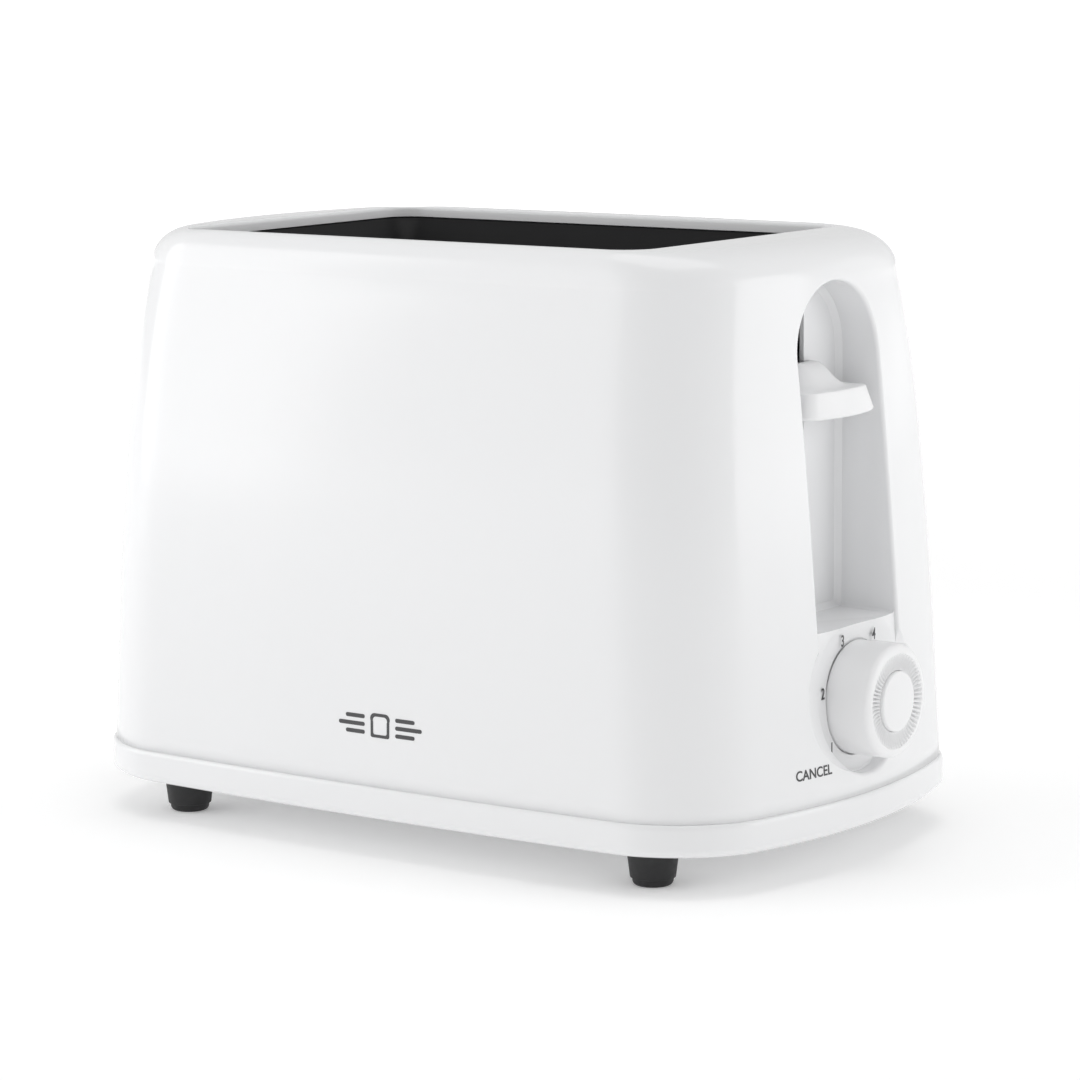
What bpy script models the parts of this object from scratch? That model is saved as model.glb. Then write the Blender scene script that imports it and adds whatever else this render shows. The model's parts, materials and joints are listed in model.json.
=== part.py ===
"""Two-slice pop-up toaster as separate sub-parts, in metres, +Z up.

X runs along the body, with the lever and the browning knob at the +X end. The front faces -Y.
The origin is on the surface that the feet stand on, under the middle of the overall box.
"""

import math

import bmesh
import bpy
from mathutils import Matrix, Vector

# Body shell
SEAM_HALF_LENGTH = 0.1250
SEAM_HALF_WIDTH = 0.0766
SEAM_Z = 0.0218
BODY_TOP = 0.1798
END_DRAFT = 0.0136
SIDE_DRAFT = 0.0024
SIDE_CURVE = 0.0089
END_TUCK = 0.0007
SIDE_TUCK = 0.0049
CORNER_RADIUS = 0.0222
END_BOW = 0.0158
END_BULGE = 0.0010
SIDE_BOW = 0.0033
TOP_FILLET_HEIGHT = 0.0112
TOP_FILLET_END = 0.0160
TOP_FILLET_SIDE = 0.0052
SHELL_WALL = 0.0025
TOP_WALL = 0.0034
GAP = 0.0003

# Top opening and slot plate
OPENING_LEFT = -0.0869
OPENING_RIGHT = 0.0809
OPENING_HALF_WIDTH = 0.0559
OPENING_RADIUS = 0.0090
SLOT_CENTRE = 0.0225
SLOT_HALF_WIDTH = 0.0140
SLOT_HALF_LENGTH = 0.0660
SLOT_PLATE_FLOOR = 0.1652
SLOT_COLLAR_DROP = 0.0030
FLANGE_WIDTH = 0.0014
SHEET = 0.0010

# Lever recess and control panel in the +X end
RECESS_BACK = 0.0995
RECESS_HALF_WIDTH = 0.0210
RECESS_FLOOR = 0.0700
RECESS_ARCH_CENTRE = 0.1476
RECESS_WALL = 0.0020
LEVER_SLOT_HALF_WIDTH = 0.0029
LEVER_SLOT_LOW = 0.0760
LEVER_SLOT_HIGH = 0.1600
PANEL_FACE = 0.1198
PANEL_THICKNESS = 0.0024
PANEL_RADIUS = 0.0212

# Base
BASE_BOTTOM = 0.0117
BASE_PROUD = 0.0007
BASE_WALL = 0.0025
BASE_FLOOR = 0.0024
BASE_EDGE = 0.0020
FOOT_X = 0.0864
FOOT_Y = 0.0560
FOOT_TOP_RADIUS = 0.0080
FOOT_BOTTOM_RADIUS = 0.0062
SCREW_X = 0.0600
SCREW_Y = 0.0690
SCREW_HEAD_RADIUS = 0.0035
SCREW_HEAD_HEIGHT = 0.0012
SCREW_HEAD_RECESS = 0.0016
SCREW_SHANK_RADIUS = 0.0015
SCREW_SHANK_LENGTH = 0.0200
SCREW_HOLE_RADIUS = 0.0019
BOSS_RADIUS = 0.0050
BOSS_HEIGHT = 0.0180
BOSS_BORE_DEPTH = 0.0140
VENTS = 7
VENT_PITCH = 0.0200
VENT_HALF_WIDTH = 0.0016
VENT_NEAR = 0.0120
VENT_FAR = 0.0320

# Cord gland in the back wall
GLAND_X = -0.0750
GLAND_Z = 0.0400
GLAND_WALL = 0.0752
GLAND_FLANGE_RADIUS = 0.0085
GLAND_FLANGE_SHEET = 0.0014
GLAND_NECK_RADIUS = 0.0062
GLAND_NECK_LENGTH = 0.0060
GLAND_BORE_RADIUS = 0.0036
GLAND_HOLE_RADIUS = 0.0066

# Crumb tray
TRAY_HALF_WIDTH = 0.0470
TRAY_RIGHT = 0.0700
TRAY_BOTTOM = 0.0144
TRAY_TOP = 0.0206
TRAY_SHEET = 0.0007
TRAY_FRONT_DEPTH = 0.0110
TRAY_PULL_HALF_WIDTH = 0.0180
TRAY_PULL_DEPTH = 0.0030
TRAY_PULL_TOP = 0.0165

# Chassis
PLATE_INNER = 0.0732
PLATE_SHEET = 0.0008
PLATE_HALF_WIDTH = 0.0520
PLATE_BOTTOM = 0.0213
PLATE_TOP = 0.1635
LIFTER_SLOT_LOW = 0.0365
LIFTER_SLOT_HIGH = 0.1105
LIFTER_SLOT_RADIUS = 0.0013
LUG_HALF_DEPTH = 0.0180
LUG_REACH = 0.0070
UPPER_LUG_TOP = 0.1615
LOWER_LUG_TOP = 0.0310
SHIELD_Y = 0.0505
SHIELD_LOW = 0.0240
SHIELD_HIGH = 0.1620
BOARD_Y = 0.0440
BOARD_SHEET = 0.0006
BOARD_HALF_LENGTH = 0.0725
BOARD_LOW = 0.0380
BOARD_HIGH = 0.1600
RIBBON_RUNS = 11
RIBBON_WIDTH = 0.0016
RIBBON_SHEET = 0.0003
RIBBON_MARGIN = 0.0060
RIBBON_END_MARGIN = 0.0080

# Bread guards
GUARD_OFFSET = 0.0147
GUARD_PIVOT_Z = 0.0340
GUARD_TOP = 0.1610
GUARD_HALF_LENGTH = 0.0700
GUARD_WINDOWS = 12
GUARD_PIN_RADIUS = 0.0010
GUARD_HALF_WIRE = 0.0009

# Lever carriage, at rest with the slots empty
LIFTER_TOP = 0.0960
LIFTER_HALF_WIDTH = 0.0045
LIFTER_HALF_LENGTH = 0.0710
LIFTER_SHEET = 0.0010
WEB_HALF_WIDTH = 0.0006
WEB_DEPTH = 0.0080
WEB_LEFT = -0.0770
BRACKET_X = 0.0800
BRACKET_SHEET = 0.0012
BRACKET_LOW = 0.0860
BRACKET_HIGH = 0.1180
BRACKET_HALF_WIDTH = 0.0270
TONGUE_HALF_WIDTH = 0.0050
TONGUE_HIGH = 0.1380
STEM_LOW = 0.1305
STEM_HIGH = 0.1360
STEM_HALF_WIDTH = 0.0024
STEM_FRONT = 0.1090
ROD_X = 0.0880
ROD_Y = -0.0120
ROD_RADIUS = 0.0025
ROD_LOW = 0.0280
ROD_HIGH = 0.1640
BUSH_RADIUS = 0.0048
BUSH_LOW = 0.0940
BUSH_HIGH = 0.1140
TAB_HALF_WIDTH = 0.0030
TAB_LOW = 0.1157
TAB_HIGH = 0.1167
SPRING_Y = 0.0120
SPRING_RADIUS = 0.0035
SPRING_WIRE = 0.0004
SPRING_TURNS = 10
SPRING_LOW = 0.1170
SPRING_HIGH = 0.1600
MAGNET_Y = 0.0180
MAGNET_BACK = 0.0850
MAGNET_FRONT = 0.0930
MAGNET_LOW = 0.0440
MAGNET_TOP = 0.0620
MAGNET_YOKE = 0.0040
MAGNET_HALF_WIDTH = 0.0110
MAGNET_POLE = 0.0032
MAGNET_CORE_HALF_WIDTH = 0.0020
COIL_HALF_WIDTH = 0.0074
COIL_HALF_DEPTH = 0.0068
COIL_LOW = 0.0484
COIL_HIGH = 0.0590
KEEPER_LIFT = 0.0503
KEEPER_SHEET = 0.0025
KEEPER_HALF_WIDTH = 0.0100
LEVER_LOW = 0.1300
LEVER_SHELF = 0.1373
LEVER_HUMP = 0.1443
LEVER_FRONT = 0.1180
LEVER_HALF_WIDTH = 0.0184
LEVER_SAG = 0.0028
HUMP_HALF_WIDTH = 0.0120
HUMP_TOP_HALF_WIDTH = 0.0045
HUMP_DEPTH = 0.0028

# Browning control
DIAL_Z = 0.0487
KNOB_REAR = 0.1204
KNOB_FACE = 0.1329
KNOB_RADIUS = 0.0165
BUTTON_FACE = 0.1342
BUTTON_RADIUS = 0.0088
SHAFT_RADIUS = 0.0030
SHAFT_BORE = 0.0017
SHAFT_REAR = 0.1005
SHAFT_FRONT = 0.1280
SHAFT_HOLE_RADIUS = 0.0045
KNOB_HUB_RADIUS = 0.0055
KNOB_HOLLOW_RADIUS = 0.0145
KNOB_WEB_REAR = 0.1265
KNOB_WEB_FRONT = 0.1285
KNOB_LIP = 0.0017
BUTTON_STEM_END = 0.1001
BUTTON_STEM_RADIUS = 0.0013
BUTTON_THICKNESS = 0.0028
POTENTIOMETER_REAR = 0.0999
POTENTIOMETER_FRONT = 0.1080
POTENTIOMETER_RADIUS = 0.0085
CONTROL_BOARD_X = 0.0980
CONTROL_BOARD_SHEET = 0.0016
CONTROL_BOARD_HALF_WIDTH = 0.0340
CONTROL_BOARD_LOW = 0.0260
CONTROL_BOARD_HIGH = 0.0660
SWITCH_BACK = 0.0920
SWITCH_HALF_WIDTH = 0.0050
CONTACT_BLOCK = ((0.0835, -0.0340, 0.0400), (0.0950, -0.0200, 0.0560))
TERMINAL_BLOCK = ((-0.0980, 0.0480, 0.0220), (-0.0780, 0.0600, 0.0320))

BASE_END = SEAM_HALF_LENGTH + BASE_PROUD
ORIGIN_SHIFT = -(BUTTON_FACE - BASE_END) / 2

WHITE = ("white_plastic", (0.86, 0.86, 0.87), 0.22, 0.0)
KNOB_WHITE = ("knob_plastic", (0.88, 0.88, 0.89), 0.30, 0.0)
BLACK_COAT = ("black_coated_steel", (0.025, 0.025, 0.027), 0.45, 0.3)
GALVANISED = ("galvanised_steel", (0.62, 0.63, 0.64), 0.38, 1.0)
BRIGHT_STEEL = ("bright_steel", (0.72, 0.72, 0.73), 0.22, 1.0)
RUBBER = ("black_rubber", (0.02, 0.02, 0.02), 0.75, 0.0)
MICA = ("mica_board", (0.66, 0.60, 0.50), 0.70, 0.0)
NICHROME = ("nichrome_ribbon", (0.42, 0.38, 0.34), 0.35, 1.0)
COPPER = ("copper_winding", (0.62, 0.28, 0.12), 0.35, 0.9)
BOARD_GREEN = ("circuit_board", (0.05, 0.22, 0.10), 0.50, 0.0)
BLACK_PLASTIC = ("black_plastic", (0.03, 0.03, 0.03), 0.50, 0.0)


def start_scene():
    """An empty scene with one collection for the parts and one for the cutters."""
    for old in list(bpy.data.objects):
        bpy.data.objects.remove(old, do_unlink=True)
    groups = []
    for name in ("pop_up_toaster", "cutters"):
        group = bpy.data.collections.new(name)
        bpy.context.scene.collection.children.link(group)
        groups.append(group)
    return groups


PARTS, CUTTERS = start_scene()


def empty_at(name, place):
    """An empty on a joint's axis, in the body's own coordinates."""
    empty = bpy.data.objects.new(name, None)
    empty.empty_display_size = 0.01
    empty.location = Vector(place) + Vector((ORIGIN_SHIFT, 0, 0))
    PARTS.objects.link(empty)
    return empty


FIXED = empty_at("chassis_frame", (0, 0, 0))
CARRIAGE = empty_at("carriage_slide", (ROD_X, ROD_Y, LIFTER_TOP))
KNOB = empty_at("browning_turn", (KNOB_REAR, 0, DIAL_Z))
BUTTON = empty_at("cancel_push", (BUTTON_FACE, 0, DIAL_Z))
TRAY = empty_at("tray_slide", (-BASE_END, 0, TRAY_BOTTOM))


def material(look):
    name, colour, roughness, metallic = look
    made = bpy.data.materials.get(name)
    if made is None:
        made = bpy.data.materials.new(name)
        made.use_nodes = True
        shader = made.node_tree.nodes["Principled BSDF"]
        shader.inputs["Base Color"].default_value = (*colour, 1)
        shader.inputs["Roughness"].default_value = roughness
        shader.inputs["Metallic"].default_value = metallic
        made.diffuse_color = (*colour, 1)
    return made


def hang(obj, parent):
    """Parents an object whose mesh is in body coordinates, so that its origin is the parent's."""
    offset = parent.location - FIXED.location
    obj.data.transform(Matrix.Translation(-offset) @ obj.matrix_basis)
    obj.matrix_basis = Matrix.Identity(4)
    obj.parent = parent


def part(obj, name, look, parent=FIXED, smooth=30):
    """Names a finished sub-part, gives it its material and puts it under its body's empty."""
    obj.name = name
    obj.data.name = name
    hang(obj, parent)
    obj.data.materials.clear()
    obj.data.materials.append(material(look))
    obj.data.shade_smooth()
    obj.data.set_sharp_from_angle(angle=math.radians(smooth))
    PARTS.objects.link(obj)
    return obj


def cutter(obj, name, parent=FIXED):
    obj.name = name
    hang(obj, parent)
    obj.hide_render = True
    obj.display_type = "WIRE"
    CUTTERS.objects.link(obj)
    return obj


def combine(obj, other, operation):
    modifier = obj.modifiers.new(operation.lower() + "_" + other.name, "BOOLEAN")
    modifier.operation = operation
    modifier.object = other
    modifier.solver = "EXACT"


def cut(obj, *others):
    for other in others:
        combine(obj, other, "DIFFERENCE")


def join(obj, *others):
    for other in others:
        combine(obj, other, "UNION")


def mesh_object(bm):
    mesh = bpy.data.meshes.new("shape")
    bm.to_mesh(mesh)
    bm.free()
    return bpy.data.objects.new("shape", mesh)


def box(low, high):
    """A box between two corners."""
    bm = bmesh.new()
    bmesh.ops.create_cube(bm, size=1)
    low, high = Vector(low), Vector(high)
    size = high - low
    move = Matrix.Translation((low + high) / 2)
    bmesh.ops.transform(bm, matrix=move @ Matrix.Diagonal((*size, 1)), verts=bm.verts)
    return mesh_object(bm)


def rod(start, end, radius, end_radius=None, sides=16):
    """A cylinder, or a cone, from one point to another."""
    start, end = Vector(start), Vector(end)
    along = end - start
    bm = bmesh.new()
    bmesh.ops.create_cone(
        bm,
        cap_ends=True,
        segments=sides,
        radius1=radius,
        radius2=radius if end_radius is None else end_radius,
        depth=along.length,
    )
    turn = along.to_track_quat("Z", "Y").to_matrix().to_4x4()
    bmesh.ops.transform(bm, matrix=Matrix.Translation((start + end) / 2) @ turn, verts=bm.verts)
    return mesh_object(bm)


def loft(rings):
    """A closed solid through rings that all have the same number of points, lowest ring first."""
    bm = bmesh.new()
    rows = [[bm.verts.new(point) for point in ring] for ring in rings]
    count = len(rows[0])
    for lower, upper in zip(rows, rows[1:]):
        for i in range(count):
            j = (i + 1) % count
            bm.faces.new((lower[i], lower[j], upper[j], upper[i]))
    bm.faces.new(reversed(rows[0]))
    bm.faces.new(rows[-1])
    bmesh.ops.recalc_face_normals(bm, faces=bm.faces)
    return mesh_object(bm)


PLANES = {
    "XY": Matrix.Identity(3),
    "XZ": Matrix(((1, 0, 0), (0, 0, -1), (0, 1, 0))),
    "YZ": Matrix(((0, 0, 1), (1, 0, 0), (0, 1, 0))),
}


def flat(loops, plane, low, high):
    """A plate between two levels along the plane's normal: its outline first, then any holes.

    The normal is +Z for XY and +X for YZ. In XZ the levels are along +Y.
    """
    curve = bpy.data.curves.new("outline", "CURVE")
    curve.dimensions = "2D"
    curve.fill_mode = "BOTH"
    curve.extrude = (high - low) / 2
    for loop in loops:
        spline = curve.splines.new("POLY")
        spline.points.add(len(loop) - 1)
        for point, (u, v) in zip(spline.points, loop):
            point.co = (u, v, 0, 1)
        spline.use_cyclic_u = True
    middle = (high + low) / 2 * (-1 if plane == "XZ" else 1)
    matrix = PLANES[plane].to_4x4() @ Matrix.Translation((0, 0, middle))
    return solid_curve(curve, matrix)


def solid_curve(curve, matrix=None):
    """The closed mesh of a curve, with its caps welded on."""
    guide = bpy.data.objects.new("guide", curve)
    bpy.context.scene.collection.objects.link(guide)
    graph = bpy.context.evaluated_depsgraph_get()
    mesh = bpy.data.meshes.new_from_object(guide.evaluated_get(graph))
    bpy.data.objects.remove(guide)
    bm = bmesh.new()
    bm.from_mesh(mesh)
    bmesh.ops.remove_doubles(bm, verts=bm.verts, dist=1e-6)
    bmesh.ops.recalc_face_normals(bm, faces=bm.faces)
    bm.to_mesh(mesh)
    bm.free()
    obj = bpy.data.objects.new("shape", mesh)
    if matrix is not None:
        obj.matrix_basis = matrix
    return obj


def turned(profile, x, z, sides=32):
    """A body turned from (radius, x) points about a line parallel to X. It closes, or ends on the axis."""
    bm = bmesh.new()
    points = [bm.verts.new((radius, 0, along)) for radius, along in profile]
    ends_on_axis = profile[0][0] == 0
    for first, second in zip(points, points[1:] if ends_on_axis else points[1:] + points[:1]):
        bm.edges.new((first, second))
    obj = mesh_object(bm)
    screw = obj.modifiers.new("turn", "SCREW")
    screw.steps = sides
    screw.render_steps = sides
    screw.use_merge_vertices = True
    screw.merge_threshold = 0.00001
    screw.use_normal_calculate = True
    bpy.context.scene.collection.objects.link(obj)
    graph = bpy.context.evaluated_depsgraph_get()
    mesh = bpy.data.meshes.new_from_object(obj.evaluated_get(graph))
    bpy.data.objects.remove(obj)
    bm = bmesh.new()
    bm.from_mesh(mesh)
    bmesh.ops.remove_doubles(bm, verts=bm.verts, dist=1e-6)
    bmesh.ops.recalc_face_normals(bm, faces=bm.faces)
    bmesh.ops.rotate(bm, matrix=Matrix.Rotation(math.pi / 2, 3, "Y"), verts=bm.verts)
    bmesh.ops.translate(bm, vec=(x, 0, z), verts=bm.verts)
    return mesh_object(bm)


def arc(centre, radius, start, end, steps):
    """Points on an arc, in degrees, both ends included."""
    u, v = centre
    angles = [math.radians(start + (end - start) * i / steps) for i in range(steps + 1)]
    return [(u + radius * math.cos(a), v + radius * math.sin(a)) for a in angles]


def rectangle(low_u, low_v, high_u, high_v, radius=0, steps=3):
    if radius == 0:
        return [(low_u, low_v), (high_u, low_v), (high_u, high_v), (low_u, high_v)]
    r = radius
    return (
        arc((high_u - r, low_v + r), r, -90, 0, steps)
        + arc((high_u - r, high_v - r), r, 0, 90, steps)
        + arc((low_u + r, high_v - r), r, 90, 180, steps)
        + arc((low_u + r, low_v + r), r, 180, 270, steps)
    )


def bowed_outline(half_length, half_width, radius, end_bow, side_bow, steps=7, runs=6):
    """A rounded rectangle whose ends and sides swell outwards by a parabola."""
    flat_x, flat_y = half_length - end_bow, half_width - side_bow
    corners = rectangle(-flat_x, -flat_y, flat_x, flat_y, radius, steps)
    points = []
    for i, (x, y) in enumerate(corners):
        points.append((x, y))
        if i % (steps + 1) == steps:
            next_x, next_y = corners[(i + 1) % len(corners)]
            for k in range(1, runs):
                points.append((x + (next_x - x) * k / runs, y + (next_y - y) * k / runs))
    bowed = []
    for x, y in points:
        swell_x = end_bow * (1 - (y / flat_y) ** 2) * abs(x) / flat_x
        swell_y = side_bow * (1 - (x / flat_x) ** 2) * abs(y) / flat_y
        bowed.append((x + math.copysign(swell_x, x), y + math.copysign(swell_y, y)))
    return bowed


def body_ring(z, inset=0.0):
    """The body's outline at a height, drawn in by inset all round."""
    t = (min(z, BODY_TOP - TOP_FILLET_HEIGHT) - SEAM_Z) / (BODY_TOP - SEAM_Z)
    end = END_DRAFT * t + END_TUCK * t**8
    side = SIDE_DRAFT * t + SIDE_CURVE * t**3 + SIDE_TUCK * t**8
    above = max(z - (BODY_TOP - TOP_FILLET_HEIGHT), 0) / TOP_FILLET_HEIGHT
    round_in = 1 - math.sqrt(max(1 - above**2, 0))
    bow = 1 - 0.3 * t
    bulge = END_BULGE * 4 * t * (1 - t)
    outline = bowed_outline(
        SEAM_HALF_LENGTH - end + bulge - TOP_FILLET_END * round_in - inset,
        SEAM_HALF_WIDTH - side - TOP_FILLET_SIDE * round_in - inset,
        max(CORNER_RADIUS - inset - TOP_FILLET_SIDE * round_in, 0.006),
        END_BOW * bow + bulge,
        SIDE_BOW * bow,
    )
    return [(x, y, z) for x, y in outline]


def body_solid(low, high, inset, top_inset=0.0):
    """The body's form between two heights. Its last ring can be drawn in further."""
    shoulder = BODY_TOP - TOP_FILLET_HEIGHT
    walls = [low + (shoulder - low) * k / 6 for k in range(7)]
    turns = [math.radians(90 * k / 6) for k in range(1, 7)]
    curved = [shoulder + TOP_FILLET_HEIGHT * math.sin(turn) for turn in turns]
    heights = walls + [z for z in curved if z < high - 0.0002] + [high]
    rings = [body_ring(z, inset) for z in heights[:-1]]
    rings.append(body_ring(high, inset + top_inset))
    return loft(rings)


def arch_outline(grow, floor, centre, radius):
    """The recess outline in Y and Z: a flat floor, straight sides and a half-round top."""
    r = radius + grow
    return [(-r, floor - grow), (r, floor - grow)] + arc((0, centre), r, 0, 180, 16)


def panel_outline(grow):
    """The control panel's outline: square at the recess floor, half round under the dial."""
    r = PANEL_RADIUS + grow
    return arc((0, DIAL_Z), r, 180, 360, 16) + [(r, RECESS_FLOOR), (-r, RECESS_FLOOR)]


def housing():
    beyond = SEAM_HALF_LENGTH + 0.01
    outer = part(body_solid(SEAM_Z, BODY_TOP, 0), "housing", WHITE)
    hollow = body_solid(SEAM_Z - 0.001, BODY_TOP - TOP_WALL, SHELL_WALL, 0.0006)
    hollow = cutter(hollow, "housing_hollow")
    arch = (RECESS_FLOOR, RECESS_ARCH_CENTRE, RECESS_HALF_WIDTH)
    block = flat([arch_outline(RECESS_WALL, *arch)], "YZ", RECESS_BACK - RECESS_WALL, beyond)
    panel_block = flat([panel_outline(RECESS_WALL)], "YZ", PANEL_FACE - PANEL_THICKNESS, beyond)
    for solid, name in ((block, "recess_block"), (panel_block, "panel_block")):
        combine(hollow, cutter(solid, name), "DIFFERENCE")
    for i, (x, y) in enumerate(screw_places()):
        boss = rod((x, y, SEAM_Z + 2 * GAP), (x, y, SEAM_Z + BOSS_HEIGHT), BOSS_RADIUS)
        combine(hollow, cutter(boss, f"boss_{i}"), "DIFFERENCE")
    cut(outer, hollow)
    recess = flat([arch_outline(0, *arch)], "YZ", RECESS_BACK, beyond)
    panel = flat([panel_outline(0)], "YZ", PANEL_FACE, beyond)
    slot = box(
        (RECESS_BACK - 0.005, -LEVER_SLOT_HALF_WIDTH, LEVER_SLOT_LOW),
        (RECESS_BACK + 0.005, LEVER_SLOT_HALF_WIDTH, LEVER_SLOT_HIGH),
    )
    mouth = rectangle(
        OPENING_LEFT, -OPENING_HALF_WIDTH, OPENING_RIGHT, OPENING_HALF_WIDTH, OPENING_RADIUS, 5
    )
    opening = flat([mouth], "XY", BODY_TOP - 0.01, BODY_TOP + 0.01)
    shaft_hole = rod(
        (PANEL_FACE - 0.01, 0, DIAL_Z), (beyond, 0, DIAL_Z), SHAFT_HOLE_RADIUS, sides=20
    )
    gland_hole = rod(
        (GLAND_X, 0, GLAND_Z), (GLAND_X, SEAM_HALF_WIDTH + 0.01, GLAND_Z), GLAND_HOLE_RADIUS
    )
    cutters = {
        "recess": recess,
        "panel": panel,
        "lever_slot": slot,
        "top_opening": opening,
        "shaft_hole": shaft_hole,
        "gland_hole": gland_hole,
    }
    for name, solid in cutters.items():
        cut(outer, cutter(solid, name))
    for i, (x, y) in enumerate(screw_places()):
        top = SEAM_Z + BOSS_BORE_DEPTH
        bore = rod((x, y, SEAM_Z - 0.001), (x, y, top), SCREW_HOLE_RADIUS, sides=12)
        cut(outer, cutter(bore, f"boss_bore_{i}"))


def screw_places():
    return [(sx * SCREW_X, sy * SCREW_Y) for sx in (-1, 1) for sy in (-1, 1)]


def base_ring(z, inset=0.0):
    rise = min(z - BASE_BOTTOM, BASE_EDGE)
    edge = BASE_EDGE - math.sqrt(max(BASE_EDGE**2 - (BASE_EDGE - rise) ** 2, 0))
    outline = bowed_outline(
        SEAM_HALF_LENGTH + BASE_PROUD - edge - inset,
        SEAM_HALF_WIDTH + BASE_PROUD - edge - inset,
        CORNER_RADIUS,
        END_BOW,
        SIDE_BOW,
    )
    return [(x, y, z) for x, y in outline]


def base_solid(inset, low, high):
    edge = [BASE_BOTTOM + BASE_EDGE * (1 - math.cos(math.radians(a))) for a in (0, 35, 62, 90)]
    heights = [z for z in edge if z > low + 1e-6]
    return loft([base_ring(z, inset) for z in [low] + heights + [high]])


def base():
    rim = SEAM_Z - GAP
    floor = BASE_BOTTOM + BASE_FLOOR
    tray = part(base_solid(0, BASE_BOTTOM, rim), "base", WHITE)
    hollow = base_solid(BASE_WALL, floor, rim + 0.001)
    cut(tray, cutter(hollow, "base_hollow"))
    doorway = box(
        (-BASE_END - 0.01, -TRAY_HALF_WIDTH - 0.0006, floor),
        (-BASE_END + 0.03, TRAY_HALF_WIDTH + 0.0006, rim + 0.001),
    )
    cut(tray, cutter(doorway, "tray_doorway"))
    below, above = BASE_BOTTOM - 0.001, floor + 0.001
    for i, (x, y) in enumerate(screw_places()):
        hole = rod((x, y, below), (x, y, above), SCREW_HOLE_RADIUS, sides=12)
        recess_top = (x, y, BASE_BOTTOM + SCREW_HEAD_RECESS)
        recess = rod((x, y, below), recess_top, SCREW_HEAD_RADIUS + GAP, sides=16)
        cut(tray, cutter(hole, f"screw_hole_{i}"), cutter(recess, f"screw_recess_{i}"))
    for i in range(VENTS):
        x = VENT_PITCH * (i - (VENTS - 1) / 2)
        for side, (near, far) in (("front", (-VENT_FAR, -VENT_NEAR)), ("back", (VENT_NEAR, VENT_FAR))):
            vent = box((x - VENT_HALF_WIDTH, near, below), (x + VENT_HALF_WIDTH, far, above))
            cut(tray, cutter(vent, f"vent_{side}_{i}"))


def feet():
    top = BASE_BOTTOM - GAP
    for sx, end in ((-1, "left"), (1, "right")):
        for sy, side in ((-1, "front"), (1, "back")):
            x, y = sx * FOOT_X, sy * FOOT_Y
            foot = rod((x, y, 0), (x, y, top), FOOT_BOTTOM_RADIUS, FOOT_TOP_RADIUS, 20)
            foot = part(foot, f"foot_{side}_{end}", RUBBER)
            bevel = foot.modifiers.new("edge", "BEVEL")
            bevel.width = 0.0009
            bevel.segments = 2
            bevel.angle_limit = math.radians(50)


def base_screws():
    """Screws whose heads sit in recesses under the base."""
    top = BASE_BOTTOM + SCREW_HEAD_RECESS - GAP
    for sx, end in ((-1, "left"), (1, "right")):
        for sy, side in ((-1, "front"), (1, "back")):
            x, y = sx * SCREW_X, sy * SCREW_Y
            head = rod((x, y, top - SCREW_HEAD_HEIGHT), (x, y, top), SCREW_HEAD_RADIUS, sides=12)
            start = (x, y, top - SCREW_HEAD_HEIGHT / 2)
            shank = rod(start, (x, y, top + SCREW_SHANK_LENGTH), SCREW_SHANK_RADIUS, sides=10)
            screw = part(head, f"base_screw_{side}_{end}", BRIGHT_STEEL)
            join(screw, cutter(shank, f"screw_shank_{side}_{end}"))


def slot_plate():
    """The black pressed plate under the top opening, with a collar round each bread slot."""
    flange_top = BODY_TOP - TOP_WALL - GAP

    def ring(z, grow):
        outline = rectangle(
            OPENING_LEFT - grow,
            -OPENING_HALF_WIDTH - grow,
            OPENING_RIGHT + grow,
            OPENING_HALF_WIDTH + grow,
            OPENING_RADIUS,
            5,
        )
        return [(x, y, z) for x, y in outline]

    floor = SLOT_PLATE_FLOOR
    flange = loft([ring(flange_top - SHEET, FLANGE_WIDTH), ring(flange_top, FLANGE_WIDTH)])
    flange = part(flange, "slot_plate", BLACK_COAT)
    bowl = loft([ring(floor, -0.0055 + SHEET), ring(flange_top - SHEET / 2, SHEET)])
    hollow = loft([ring(floor + SHEET, -0.0055), ring(flange_top, 0), ring(flange_top + 0.001, 0)])
    join(flange, cutter(bowl, "slot_plate_bowl"))
    slots = []
    for side, name in ((-1, "front"), (1, "back")):
        y = side * SLOT_CENTRE
        outer = rectangle(
            -SLOT_HALF_LENGTH - SHEET,
            y - SLOT_HALF_WIDTH - SHEET,
            SLOT_HALF_LENGTH + SHEET,
            y + SLOT_HALF_WIDTH + SHEET,
            0.004,
        )
        inner = rectangle(
            -SLOT_HALF_LENGTH, y - SLOT_HALF_WIDTH, SLOT_HALF_LENGTH, y + SLOT_HALF_WIDTH, 0.003
        )
        collar = flat([outer], "XY", floor - SLOT_COLLAR_DROP, floor + SHEET / 2)
        join(flange, cutter(collar, f"slot_collar_{name}"))
        through = flat([inner], "XY", floor - 0.01, floor + 0.004)
        slots.append(cutter(through, f"bread_slot_{name}"))
    cut(flange, cutter(hollow, "slot_plate_hollow"), *slots)


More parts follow.
